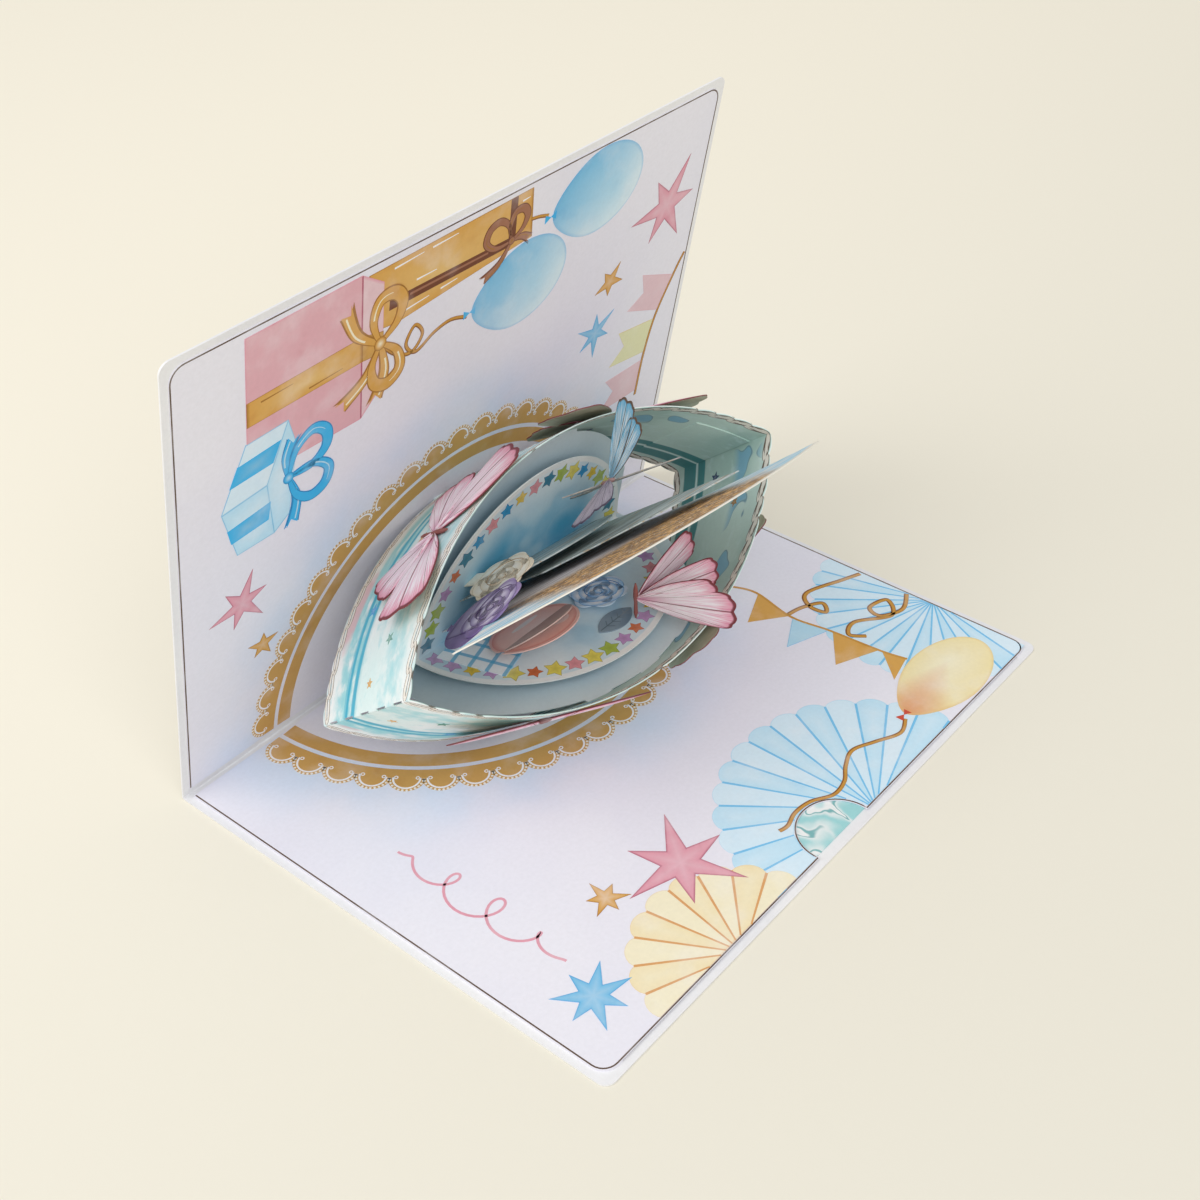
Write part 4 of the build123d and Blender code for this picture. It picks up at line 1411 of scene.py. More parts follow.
@dataclass
class BackPrint:
    """Pictures on the back liner: gifts, balloons, stars and bunting."""

    face: Face
    top_margin: float = 1.4

    def place(self, x: float, y: float, lift: float) -> Vector:
        """Places a print so that it keeps a margin from the panel's top edge."""
        share = (1 - (x / CARD.liner_half_width) ** 2) * y / CARD.back_liner_end
        return self.face.place(x, y - self.top_margin * share, lift)

    def build(self, ink: Material) -> None:
        """Prints every picture."""
        sheet = Picture("back_print", self.place)
        for draw in (self.gold_gift, self.pink_gift, self.striped_gift, self.balloons, self.stars,
                     self.bunting):
            draw(sheet)
        sheet.build(ink)
        edge_line("back_edge_line", self.face, CARD.back_liner_end, None, ink)

    def gold_gift(self, sheet: Picture) -> None:
        """Prints the long gold box with its brown ribbon."""
        box = [(-38.5, 145), (19.4, 146.2), (21, 130.6), (-28, 126.4), (-37.5, 127.5)]
        sheet.wash(box, *Ink.GILT, 0, rim=0.97)
        glints = (((-30, 143.4), (-20, 143.9)), ((-17, 143.9), (-8, 144.2)),
                  ((-26, 128.9), (-17, 129.6)), ((-13, 129.8), (-7, 130.2)),
                  ((-22, 136.6), (-15, 136.6)), ((15.6, 143.6), (18.4, 143.8)))
        for ends in glints:
            sheet.stroke(ends, 0.55, Ink.WHITE, 1, end_width=0.2)
        sheet.fill([(-31, 134.6), (12.5, 134), (12.5, 131.2), (-31, 131.4)], Ink.BROWN, 1)
        sheet.fill([(-24, 133.6), (4, 133.2), (4, 132.6), (-24, 132.9)], Ink.BROWN_PALE, 2)
        sheet.fill([(11, 146), (13.6, 146.1), (14.2, 132.4), (11.6, 132.4)], Ink.BROWN, 2)
        tints = (Ink.BROWN_PALE, Ink.BROWN, Ink.GOLD_DARK)
        tails = [(2.6, 124.6), (20.4, 130.2)]
        sheet.bow((12.8, 132.8), [(16.6, 141.2), (4, 139.6)], tails, 2.1, tints, 3)

    def pink_gift(self, sheet: Picture) -> None:
        """Prints the tall pink box with its gold ribbon."""
        front = [(-76.6, 145), (-40.6, 146.2), (-39, 101.5), (-76.2, 101.5)]
        sheet.wash(front, Ink.ROSE, Ink.ROSE_PALE, Ink.ROSE_PALE, 4, rim=0.975)
        side = [(-40.6, 146.2), (-33.3, 141.2), (-32.1, 108.6), (-39, 101.5)]
        sheet.wash(side, Ink.ROSE, Ink.BLUSH, Ink.BLUSH, 4, rim=0.94)
        sheet.stroke([(-40.6, 146), (-39, 101.8)], 0.5, Ink.ROSE_DEEP, 5)
        ribbon = [(-76.4, 126.2), (-39.8, 127.8), (-39.4, 120), (-76.3, 118.8)]
        sheet.wash(ribbon, *Ink.GILT, 6, rim=0.94)
        band = [(-39.8, 127.8), (-32.6, 126.2), (-32.4, 119.4), (-39.4, 120)]
        sheet.wash(band, Ink.GOLD_DARK, Ink.GOLD, Ink.GOLD_BOX, 6)
        for ends in (((-72, 124.6), (-62, 125)), ((-57, 120.9), (-46, 121.4))):
            sheet.stroke(ends, 0.5, Ink.GOLD_DARK, 7, end_width=0.15)
        tints = (Ink.GOLD_BOX, Ink.GOLD_DARK, Ink.LEMON_PALE)
        tails = [(-45.4, 138), (-46.8, 108.8), (-34.6, 104.6)]
        sheet.bow((-33.6, 122.8), [(-29.4, 136.4), (-30.2, 108.8)], tails, 3.4, tints, 8)

    def striped_gift(self, sheet: Picture) -> None:
        """Prints the small striped box with its bow."""
        upper = [(-76.7, 113.9), (-63.4, 114.7), (-70.1, 97.4), (-84.5, 95.8)]
        lower = [(-84.5, 95.8), (-70.1, 97.4), (-67.7, 79.8), (-79.8, 79.6)]
        side = [(-63.4, 114.7), (-60.6, 105.7), (-62.8, 83.5), (-67.7, 79.8), (-70.1, 97.4)]
        for face, tint in ((upper, Ink.FAN_PALE), (lower, Ink.FAN_BLUE), (side, Ink.FAN_BLUE)):
            sheet.wash(face, Ink.SKY, tint, Ink.FAN_PALE, 6, rim=0.95)
        for band in ([(-79.3, 108.4), (-65.6, 109.7), (-68.1, 103.6), (-81.8, 102.7)],
                     [(-82.8, 89.5), (-68.9, 91.4), (-69.6, 85.6), (-81.6, 84.5)]):
            sheet.wash(band, Ink.RIBBON_BLUE, Ink.RIBBON_BLUE, Ink.SKY, 7, rim=0.95)
        tints = (Ink.RIBBON_BLUE, Ink.RIBBON_NAVY, Ink.SKY_PALE)
        tails = [(-62, 79), (-61.5, 108.5)]
        sheet.bow((-63.2, 95.8), [(-50.9, 104.6), (-50.8, 87.2)], tails, 2.9, tints, 8)

    def balloons(self, sheet: Picture) -> None:
        """Prints the two balloons with their strings."""
        sheet.cord([(20.2, 136.2), (23.4, 135.6), (27, 134.4)], 1.1, 2)
        curl = [(-1.8, 115.6), (-8, 117.6), (-14, 116.6), (-20.4, 113.6), (-24.2, 117.6), (-21.4, 122.4),
                (-18.4, 118.4), (-22, 114.2), (-27.6, 116.4), (-32, 120.6)]
        sheet.cord(curl, 1.2, 2)
        depth = (0.5, 0.45, 0.4)
        blue = BalloonInk(Ink.SKY, Ink.SKY_MIST, Ink.SKY_PALE, Ink.SKY_DEEP, Ink.RIBBON_BLUE, depth)
        for centre in ((48.6, 133.4), (19.6, 116.4)):
            sheet.balloon(centre, 17.6, 13.6, blue, 3)

    def stars(self, sheet: Picture) -> None:
        """Prints the loose stars."""
        for star in (
            ((82, 114), 16, 6, 62, Ink.ROSE_DEEP, Ink.ROSE, 0.3, 0.24),
            ((60, 97.6), 6.6, 5, 54, Ink.GOLD_DARK, Ink.GOLD_BOX),
            ((57, 80.4), 9.4, 6, 34, Ink.SKY_DEEP, Ink.SKY, 0.3),
            ((-78.5, 61.4), 11, 6, 70, Ink.ROSE_DEEP, Ink.ROSE, 0.3, 0.24),
            ((-71.6, 40.8), 5.6, 5, 12, Ink.GOLD_DARK, Ink.GOLD_BOX),
        ):
            sheet.star(*star)

    def bunting(self, sheet: Picture) -> None:
        """Prints the swallow-tailed flags on their line."""
        cord = [(96.6, 91.2), (93.4, 85.6), (87.4, 71.9), (85, 57), (84.7, 42)]
        sheet.cord(cord, 1.1, 3)
        tints = (Ink.BLUSH, Ink.FLAG_LEMON, Ink.BLUSH)
        for start, end, tint in zip(cord[1:], cord[2:], tints):
            a, b = Vector(start), Vector(end)
            out = Vector((-(a - b).y, (a - b).x)).normalized() * 18
            a, b = a.lerp(b, 0.06), a.lerp(b, 0.86)
            loop = [a, a + out, a.lerp(b, 0.5) + out * 0.72, b + out, b]
            edge = Ink.ROSE_PALE if tint == Ink.BLUSH else Ink.GOLD_PALE
            sheet.wash([(p.x, p.y) for p in loop], blend(edge, tint, 0.4), tint, tint, 2, rim=0.95)


@dataclass
class BasePrint:
    """Pictures on the base liner: fans, balloon, stars, streamers and bunting."""

    face: Face

    def build(self, ink: Material) -> None:
        """Prints every picture."""
        sheet = Picture("base_print", self.face.place)
        for draw in (self.fans, self.stars, self.balloon, self.streamers, self.bunting, self.flourish):
            draw(sheet)
        sheet.build(ink)
        notch = (CARD.notch_centre, CARD.notch_radius)
        edge_line("base_edge_line", self.face, CARD.base_liner_end, notch, ink)

    def fans(self, sheet: Picture) -> None:
        """Prints the pleated fans, cut off at the liner's edge."""
        inset = 0.6
        half = CARD.liner_half_width - inset
        box = (-half, CARD.liner_start, half, CARD.base_liner_end - inset)
        notch = (CARD.notch_centre, CARD.notch_radius + 0.3)
        blue = (Ink.FAN_PALE, Ink.FAN_BLUE, Ink.FAN_LINE)
        lemon = (Ink.LEMON_PALE, (0.87, 0.74, 0.46), Ink.LEMON_LINE)
        sheet.fan((12.8, 149), 42, 184, 356, 14, blue, box, notch)
        sheet.fan((99, 114), 36, 92, 268, 15, blue, box)
        sheet.fan((-49, 150), 27, 184, 356, 9, lemon, box, None, 2)

    def stars(self, sheet: Picture) -> None:
        """Prints the loose stars."""
        for star in (
            ((-35, 120), 18, 6, 68, Ink.ROSE_DEEP, Ink.ROSE, 0.3, 0.2),
            ((-56.4, 112.6), 6.6, 6, 40, Ink.GOLD_DARK, Ink.GOLD_BOX),
            ((-82, 130), 10.8, 7, 20, Ink.SKY_DEEP, Ink.SKY, 0.36, 0.18),
        ):
            sheet.star(*star, level=4)

    def balloon(self, sheet: Picture) -> None:
        """Prints the yellow balloon with its string."""
        string = [(47.8, 136), (42, 138), (34.5, 134.4), (27.7, 131.4), (21.4, 133.4), (16.2, 136.4),
                  (10.2, 137), (4, 133.6), (-2, 132.8), (-7, 134), (-10, 133.4)]
        sheet.cord(string, 1.25, 4)
        depth = (-0.78, 1.5, 0)
        lemon = BalloonInk(Ink.FLAME, Ink.LEMON, Ink.LEMON_PALE, Ink.GOLD_PALE, Ink.KNOT_RED, depth)
        sheet.balloon((71.6, 134.8), 19.5, 11.3, lemon, 6)

    def streamers(self, sheet: Picture) -> None:
        """Prints the curled streamers."""
        first = [(96.5, 89.2), (90.5, 86.6), (78.3, 81.6), (73.4, 86), (74, 91.6), (77, 88.2), (71.5, 84.6),
                 (66, 83.2)]
        second = [(96.8, 106), (89.6, 109), (82.7, 105.4), (84.2, 100.7), (90.6, 102.9), (85, 108),
                  (75.4, 101), (69.4, 102.9), (71.9, 107.4)]
        for path in (first, second):
            sheet.cord(path, 1.5, 3)

    def bunting(self, sheet: Picture) -> None:
        """Prints the pennants."""
        cord = [(66.8, 62), (68.7, 69.6), (65.6, 84.6), (67.4, 97.8), (68.8, 114.6), (70.4, 122.6)]
        sheet.stroke(smooth_path(cord), 0.8, Ink.STRING, 4)
        gold, sky = (Ink.GOLD, Ink.GOLD_BOX), (Ink.SKY, Ink.SKY_PALE)
        tips = ((55.4, 75.8), (53.1, 91.8), (55.3, 107.6), (60.2, 124.6))
        for start, end, tip, (edge, tint) in zip(cord[1:], cord[2:], tips, (gold, sky, gold, gold)):
            a, b = Vector(start).lerp(Vector(end), 0.04), Vector(start).lerp(Vector(end), 0.96)
            sheet.wash([(a.x, a.y), tip, (b.x, b.y)], edge, tint, tint, 3, rim=0.92)

    def flourish(self, sheet: Picture) -> None:
        """Prints a plain looped pen line."""
        path: list[Point] = []
        loops, steps = 4, 96
        for i in range(steps + 1):
            t = i / steps
            turn, swell = 2 * pi * loops * t, sin(pi * t)
            path.append((-78 + 5.2 * sin(turn) * swell, 60 + 58 * t + 5 * cos(turn) * swell))
        sheet.stroke(path, 0.75, Ink.ROSE, 2)


def edge_line(name: str, face: Face, end: float, notch: Hole | None, ink: Material) -> None:
    """Prints a line just inside a liner's three outer sides.

    Args:
        name: Name of the piece.
        face: The liner's printed face.
        end: Where the liner ends, away from the crease.
        notch: Centre and radius of its thumb notch, or None.
        ink: The ink.
    """
    inset, width = 0.3, 0.4
    half, end, radius = CARD.liner_half_width - inset, end - inset, CARD.liner_corner - inset
    right = [(half, CARD.liner_start + inset)] + arc_points((half - radius, end - radius), radius, 0, 90, 8)
    path = list(right)
    if notch:
        (x, y), reach = notch[0], notch[1] + inset
        angle = degrees(asin((end - y) / reach))
        path += arc_points((x, y), reach, angle, -180 - angle, 31)
    line = InkSheet(name, face.place)
    line.stroke(path + [(-x, y) for x, y in reversed(right)], width, Ink.EDGE_BROWN, 0)
    line.build(ink)


@dataclass
class RingPrint:
    """Rope rims and stars on the side wall."""

    strand_half: float = 1.15
    outline: float = 0.20
    drop: float = 1.95
    slant: float = 0.55
    reach: float = 0.62
    end_gap: float = 0.64
    star_count: int = 15
    star_radius: float = 2.0
    star_level: float = 24.0
    star_swing: float = 9.0

    def unit(self, name: str, pitch: float, up: int) -> InkSheet:
        """Draws one slanted strand of the rope below the rim, with its outline.

        Args:
            name: Name of the piece.
            pitch: Length of one scallop.
            up: 1 for the top rim, -1 for the foot.

        Returns:
            The drawn strand.
        """
        sheet = InkSheet(name, flat)
        reach = self.reach * pitch
        shares = [sin(pi / 2 * (k / 8 - 1)) for k in range(17)]
        for grow, tint, level in ((self.outline, Ink.ROPE_LINE, 0), (0.0, Ink.ROPE, 1)):
            top, low = [], []
            for t in shares:
                half = self.strand_half * sqrt(max(1 - t**2, 0.0)) + 0.06 + grow
                middle = -self.drop + self.slant * sin(pi / 2 * t)
                top.append((reach * t, up * (middle + half)))
                low.append((reach * t, up * (middle - half)))
            sheet.fill(top + low[::-1], tint, level)
        crease = []
        for t in shares[4:13]:
            crease.append((reach * t, up * (0.1 - self.drop + self.slant * sin(pi / 2 * t))))
        sheet.stroke(crease, 0.16, Ink.ROPE_LINE, 2)
        return sheet

    def build(self, ink: Material) -> None:
        """Prints the rims and stars of both arcs."""
        length = 2 * CARD.wall_angle * CARD.wall_radius
        pitch = length / CARD.scallops
        start = -length / 2 + self.end_gap * pitch
        step = -2 * start / (CARD.scallops - 1)
        for back in (True, False):
            side = "back" if back else "front"
            for outer in (True, False):
                name = f"{side}_{'outer' if outer else 'inner'}"
                mapper = CARD.wall(back, outer)
                for rim, height, up in (("top", CARD.wall_height, 1), ("foot", 0.0, -1)):
                    unit = self.unit(f"{name}_{rim}_rope", pitch, up)
                    Repeater(Repeat.LINE).make(unit, CARD.scallops, height, start, step, ink, mapper)
                self.stars(name, mapper, outer, length, ink)

    def stars(self, name: str, mapper: Mapper, outer: bool, length: float, ink: Material) -> None:
        """Prints small stars over one face of an arc.

        Args:
            name: Start of the piece's name.
            mapper: Map to the arc's face.
            outer: True for the outer face.
            length: Length of the arc.
            ink: The ink.
        """
        sheet = Picture(name + "_stars", mapper)
        warm = (Ink.GOLD_BOX, (0.05, 0.3, 0.22), Ink.SKY_DEEP, Ink.ROSE)
        muted = ((0.46, 0.07, 0.1), (0.46, 0.22, 0.05), (0.02, 0.06, 0.16), (0.52, 0.12, 0.16))
        tints = warm if outer else muted
        for i in range(self.star_count):
            along = -length / 2 + length * (i + 0.7) / (self.star_count + 0.4)
            height = self.star_level + self.star_swing * sin(2.4 * i + (0.0 if outer else 1.3))
            size = self.star_radius * (0.75 + 0.35 * ((i * 7) % 5) / 4)
            sheet.star((along, height), size, 5, 37 * i, tints[i % 4], tints[i % 4], 0.42, 0.0)
        sheet.build(ink)


@dataclass
class PlatePrint:
    """Garland of stars on the creased plate."""

    radius: float = 38.6
    stars: int = 21
    star_radius: float = 3.1
    margin: float = 4.0

    def build(self, ink: Material) -> None:
        """Prints the garland on both halves."""
        palette = ((0.66, 0.17, 0.06), (0.78, 0.56, 0.07), (0.04, 0.32, 0.62), (0.52, 0.3, 0.58),
                   (0.76, 0.32, 0.36), (0.06, 0.24, 0.36), (0.4, 0.52, 0.08), (0.78, 0.68, 0.12))
        edge = asin(self.margin / self.radius)
        for back in (True, False):
            name = "back_star_garland" if back else "front_star_garland"
            face = CARD.panel(back, CARD.plate_level, CARD.plate_thickness)
            unit = Picture(name, flat)
            line, body = (0.55, 0.58, 0.55), (0.0, 0.0, 0.0)
            unit.star((0, 0), self.star_radius, 5, 75, line, body, 0.54, 0.0, 0)
            repeater = Repeater(Repeat.ARC, palette, 3 if back else 8, (0.78, 1.12))
            repeater.make(unit, self.stars, self.radius, edge, pi - 2 * edge, ink, face.place)


@dataclass
class Wing:
    """One lobe of a butterfly's wing."""

    length: float
    share: float
    angle: float

    SHOULDER = 0.84
    BULGE = 0.44
    BULGE_WIDTH = 0.80

    def outline(self) -> list[Point]:
        """Gives the lobe's outline from root to root, with a lightly scalloped end."""
        side = self.share * self.length / 2
        shoulder, bulge = self.SHOULDER * self.length, self.BULGE * self.length
        upper = [(0.06 * self.length, 0.18 * side), (0.22 * self.length, 0.5 * side),
                 (bulge, self.BULGE_WIDTH * side), (0.66 * self.length, 0.95 * side), (shoulder, side)]
        upper = smooth_path(upper, 4)
        end = []
        for i in range(1, 32):
            turn = pi / 2 - pi * i / 32
            dent = 0.1 * (1 - abs(sin(pi * 4 * i / 32))) * cos(turn)
            reach = (self.length - shoulder) * cos(turn) ** 0.7 * (1 - 2.2 * dent)
            end.append((shoulder + reach, side * copysign(abs(sin(turn)) ** 0.85, sin(turn))))
        return upper + end + [(x, -y) for x, y in reversed(upper)]


@dataclass
class Butterfly:
    """Butterfly die-cut from printed paper, in place of its plain solid."""

    node: str
    wings: list[tuple[Face, list[Wing], float]]
    spine: tuple[Vector, Vector]
    side: Vector
    camber: float
    plain_back: bool = False
    rows: int = 9

    LOBE_STEP = 0.05
    ROOT_GAP = 0.03
    SHEET_TRIM = 0.03
    BODY_TINT = (0.3, 0.1, 0.09)
    BODY_SHAPE = ((0.0, 0.25), (0.15, 0.62), (0.45, 0.5), (0.62, 0.72), (0.8, 0.66), (0.9, 0.5),
                  (1, 0.2))
    BODY_SIDES = 10

    def build(self, finishes: Sequence[Material], ink: Material, slot: str) -> None:
        """Makes the wings and the body.

        Args:
            finishes: Finish of every wing, or one for each.
            ink: Finish of the body.
            slot: Not used.
        """
        points: list[Vector] = []
        faces: list[Ring] = []
        places: list[Point] = []
        dressed: list[int] = []
        for wing, (face, lobes, root) in enumerate(self.wings):
            for number, lobe in enumerate(lobes):
                first = len(faces)
                self._lobe(points, faces, places, face, lobe, root, self.LOBE_STEP * number)
                fronts = 0 if self.plain_back else min(wing, len(finishes) - 1)
                pairs = (len(lobe.outline()) - 1) * (self.rows - 1)
                # with a plain back, the backs take the last finish, the darker one with painted shade
                backs = len(finishes) - 1 if self.plain_back else fronts
                dressed += [fronts, backs] * pairs
                dressed += [fronts] * (len(faces) - first - 2 * pairs)
        mesh = bpy.data.meshes.new(self.node + "_wings")
        mesh.from_pydata([tuple(p) for p in points], [], faces)
        layer = mesh.uv_layers.new(name="UVMap")
        for loop in mesh.loops:
            layer.data[loop.index].uv = places[loop.vertex_index]
        wings = finish_piece(self.node + "_wings", mesh, finishes[0])
        for extra in finishes[1:]:
            mesh.materials.append(extra)
        for polygon, number in zip(mesh.polygons, dressed):
            polygon.material_index = number
        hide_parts(self.node)
        self._body(ink)

    def _lobe(self, points: list[Vector], faces: list[Ring], places: list[Point], face: Face, lobe: Wing,
              root: float, shift: float) -> None:
        """Adds one lobe as a closed sheet with its own map.

        Args:
            points: Points of the wings so far.
            faces: Their faces.
            places: Each point's place on the map.
            face: The wing's plane.
            lobe: The lobe.
            root: Place of its root along the spine.
            shift: Lift that keeps it clear of the other lobes.
        """
        outline = lobe.outline()
        columns = len(outline)
        turn = radians(lobe.angle)
        start = len(points)
        half = CARD.sheet / 2 - self.SHEET_TRIM
        for sign in (1, -1):
            for row in range(self.rows):
                u = self.ROOT_GAP + (1 - self.ROOT_GAP) * row / (self.rows - 1)
                for k, (x, y) in enumerate(outline):
                    across = x * u * cos(turn) - y * u * sin(turn)
                    along = x * u * sin(turn) + y * u * cos(turn)
                    lift = self.camber * sin(pi * u * 0.9) + shift + sign * half
                    points.append(face.place(across, along + root, lift))
                    places.append((u, k / (columns - 1)))
        size = self.rows * columns
        for row in range(self.rows - 1):
            for k in range(columns - 1):
                a = start + row * columns + k
                b = a + columns
                faces.append((a, a + 1, b + 1, b))
                faces.append((a + size, b + size, b + 1 + size, a + 1 + size))
        rim = [start + k for k in range(columns)]
        rim += [start + (row + 1) * columns - 1 for row in range(1, self.rows)]
        rim += [start + (self.rows - 1) * columns + k for k in range(columns - 2, -1, -1)]
        rim += [start + row * columns for row in range(self.rows - 2, 0, -1)]
        for i, a in enumerate(rim):
            b = rim[(i + 1) % len(rim)]
            faces.append((a, b, b + size, a + size))

    def _body(self, ink: Material) -> None:
        """Makes the slim body as a tapered spindle."""
        points: list[Vector] = []
        faces: list[Ring] = []
        low, high = self.spine
        other = (high - low).normalized().cross(self.side)
        sides = self.BODY_SIDES
        for share, radius in self.BODY_SHAPE:
            for k in range(sides):
                turn = 2 * pi * k / sides
                spot = low.lerp(high, share) + (self.side * cos(turn) + other * sin(turn)) * radius
                points.append(spot * MM)
        for row in range(len(self.BODY_SHAPE) - 1):
            for k in range(sides):
                a, b = row * sides + k, row * sides + (k + 1) % sides
                faces.append((a, b, b + sides, a + sides))
        faces.append(tuple(range(sides)))
        faces.append(tuple(range(len(points) - 1, len(points) - 1 - sides, -1)))
        name = self.node + "_body"
        finish_piece(name, tinted_mesh(name, points, faces, [self.BODY_TINT] * len(points)), ink)


class Flock:
    """All butterflies, where their solids are."""

    OUTER_PLACE = 34.0
    BACK_HEIGHT = 73.0
    FRONT_HEIGHT = 69.0
    OUTER_ROLL = 7.0
    OUTER_LOBES = ((31, 0.6, 25), (22.5, 0.72, -27))
    OUTER_BODY = 7.5
    OUTER_BODY_LIFT = 0.55
    OUTER_CAMBER = 0.9
    FOLDED_CAMBER = 0.4
    PINK_FOOT = (9, 35.5)
    PINK_SPINE = 12.0
    PINK_WINGS = ((4, ((25, 0.42, 18),)), (30, ((25, 0.42, 7),)),
                  (69, ((25, 0.42, 16), (29, 0.42, 3.5))))
    BLUE_FOOT = (16.7, 80)
    BLUE_SPINE = 6.0
    BLUE_STEM = (19, 13.7)
    BLUE_WINGS = ((66, ((24, 0.3, 38), (21, 0.3, 54))),
                  (190, ((24, 0.3, 18), (21, 0.3, 36))))
    ROOT_SHARE = 0.58

    def build(self, finishes: Finishes) -> None:
        """Makes every butterfly."""
        # outer butterflies: pink fronts, and backs in the olive-brown finish with painted shade
        ink, pink = finishes["ink_finish"], [finishes["pink_wing_finish"], finishes["wing_back_finish"]]
        for back in (True, False):
            for x, side in ((-self.OUTER_PLACE, "left"), (self.OUTER_PLACE, "right")):
                name = f"{'back' if back else 'front'}_{side}_butterfly"
                self.outer(name, x, back).build(pink, ink, "pink_wing")
        self.pink().build(pink[:1], ink, "pink_wing")
        # the second wing, the near one, takes the darker lilac finish with painted shade
        blue = [finishes["blue_wing_finish"], finishes["lilac_wing_finish"]]
        self.blue().build(blue, ink, "blue_wing")

    def outer(self, node: str, x: float, back: bool) -> Butterfly:
        """Gives a butterfly on the wall's outer face.

        Args:
            node: The solid that it stands for.
            x: Its place along the crease.
            back: True for the arc by the back panel.

        Returns:
            The butterfly.
        """
        side = 1 if back else -1
        slope = x / CARD.wall_radius
        level = sqrt(1 - slope**2)
        spread = sqrt(CARD.wall_radius**2 - x**2) - CARD.arc_centre
        to_side = CARD.to_back * side
        outward = CARD.across * slope + to_side * level
        along = to_side * slope - CARD.across * level
        roll = radians(copysign(self.OUTER_ROLL, x))
        x_dir = along * cos(roll) + CARD.rise * sin(roll)
        y_dir = CARD.rise * cos(roll) - along * sin(roll)
        height = self.BACK_HEIGHT if back else self.FRONT_HEIGHT
        seat = CARD.crease + CARD.rise * height + CARD.across * x + to_side * spread
        seat += outward * (CARD.fit / 2 + CARD.sheet / 2)
        lobes = [Wing(*lobe) for lobe in self.OUTER_LOBES]
        wings = [(Face(seat, way, y_dir, outward), lobes, 0.0) for way in (x_dir, -x_dir)]
        lift = outward * self.OUTER_BODY_LIFT
        ends = (seat + lift - y_dir * self.OUTER_BODY, seat + lift + y_dir * self.OUTER_BODY)
        return Butterfly(node, wings, ends, x_dir, self.OUTER_CAMBER, True)

    def folded(self, node: str, foot: Vector, side_dir: Vector, spine_dir: Vector, spine: float,
               wings: Sequence[tuple[float, Sequence[tuple[float, float, float]]]]) -> Butterfly:
        """Gives a butterfly folded along its spine.

        Args:
            node: The solid that it stands for.
            foot: Foot of the spine.
            side_dir: Direction at a quarter turn from the crease's.
            spine_dir: Direction of the spine.
            spine: Length of the spine.
            wings: Turn and lobes of each wing.

        Returns:
            The butterfly.
        """
        made = []
        for turn, lobes in wings:
            angle = radians(turn)
            x_dir = CARD.across * cos(angle) + side_dir * sin(angle)
            face = Face(foot, x_dir, spine_dir, x_dir.cross(spine_dir))
            made.append((face, [Wing(*lobe) for lobe in lobes], self.ROOT_SHARE * spine))
        return Butterfly(node, made, (foot, foot + spine_dir * spine), side_dir, self.FOLDED_CAMBER)

    def pink(self) -> Butterfly:
        """Gives the butterfly that stands on the plate's near half."""
        face = CARD.panel(False, CARD.plate_level, CARD.plate_thickness + CARD.fit / 2)
        foot = face.place(*self.PINK_FOOT) / MM
        spine, wings = self.PINK_SPINE, self.PINK_WINGS
        return self.folded("pink_butterfly", foot, CARD.front_up, CARD.front_in, spine, wings)

    def blue(self) -> Butterfly:
        """Gives the butterfly on the stem."""
        foot = CARD.upright(*self.BLUE_STEM).place(*self.BLUE_FOOT) / MM
        return self.folded("blue_butterfly", foot, CARD.to_back, CARD.rise, self.BLUE_SPINE, self.BLUE_WINGS)


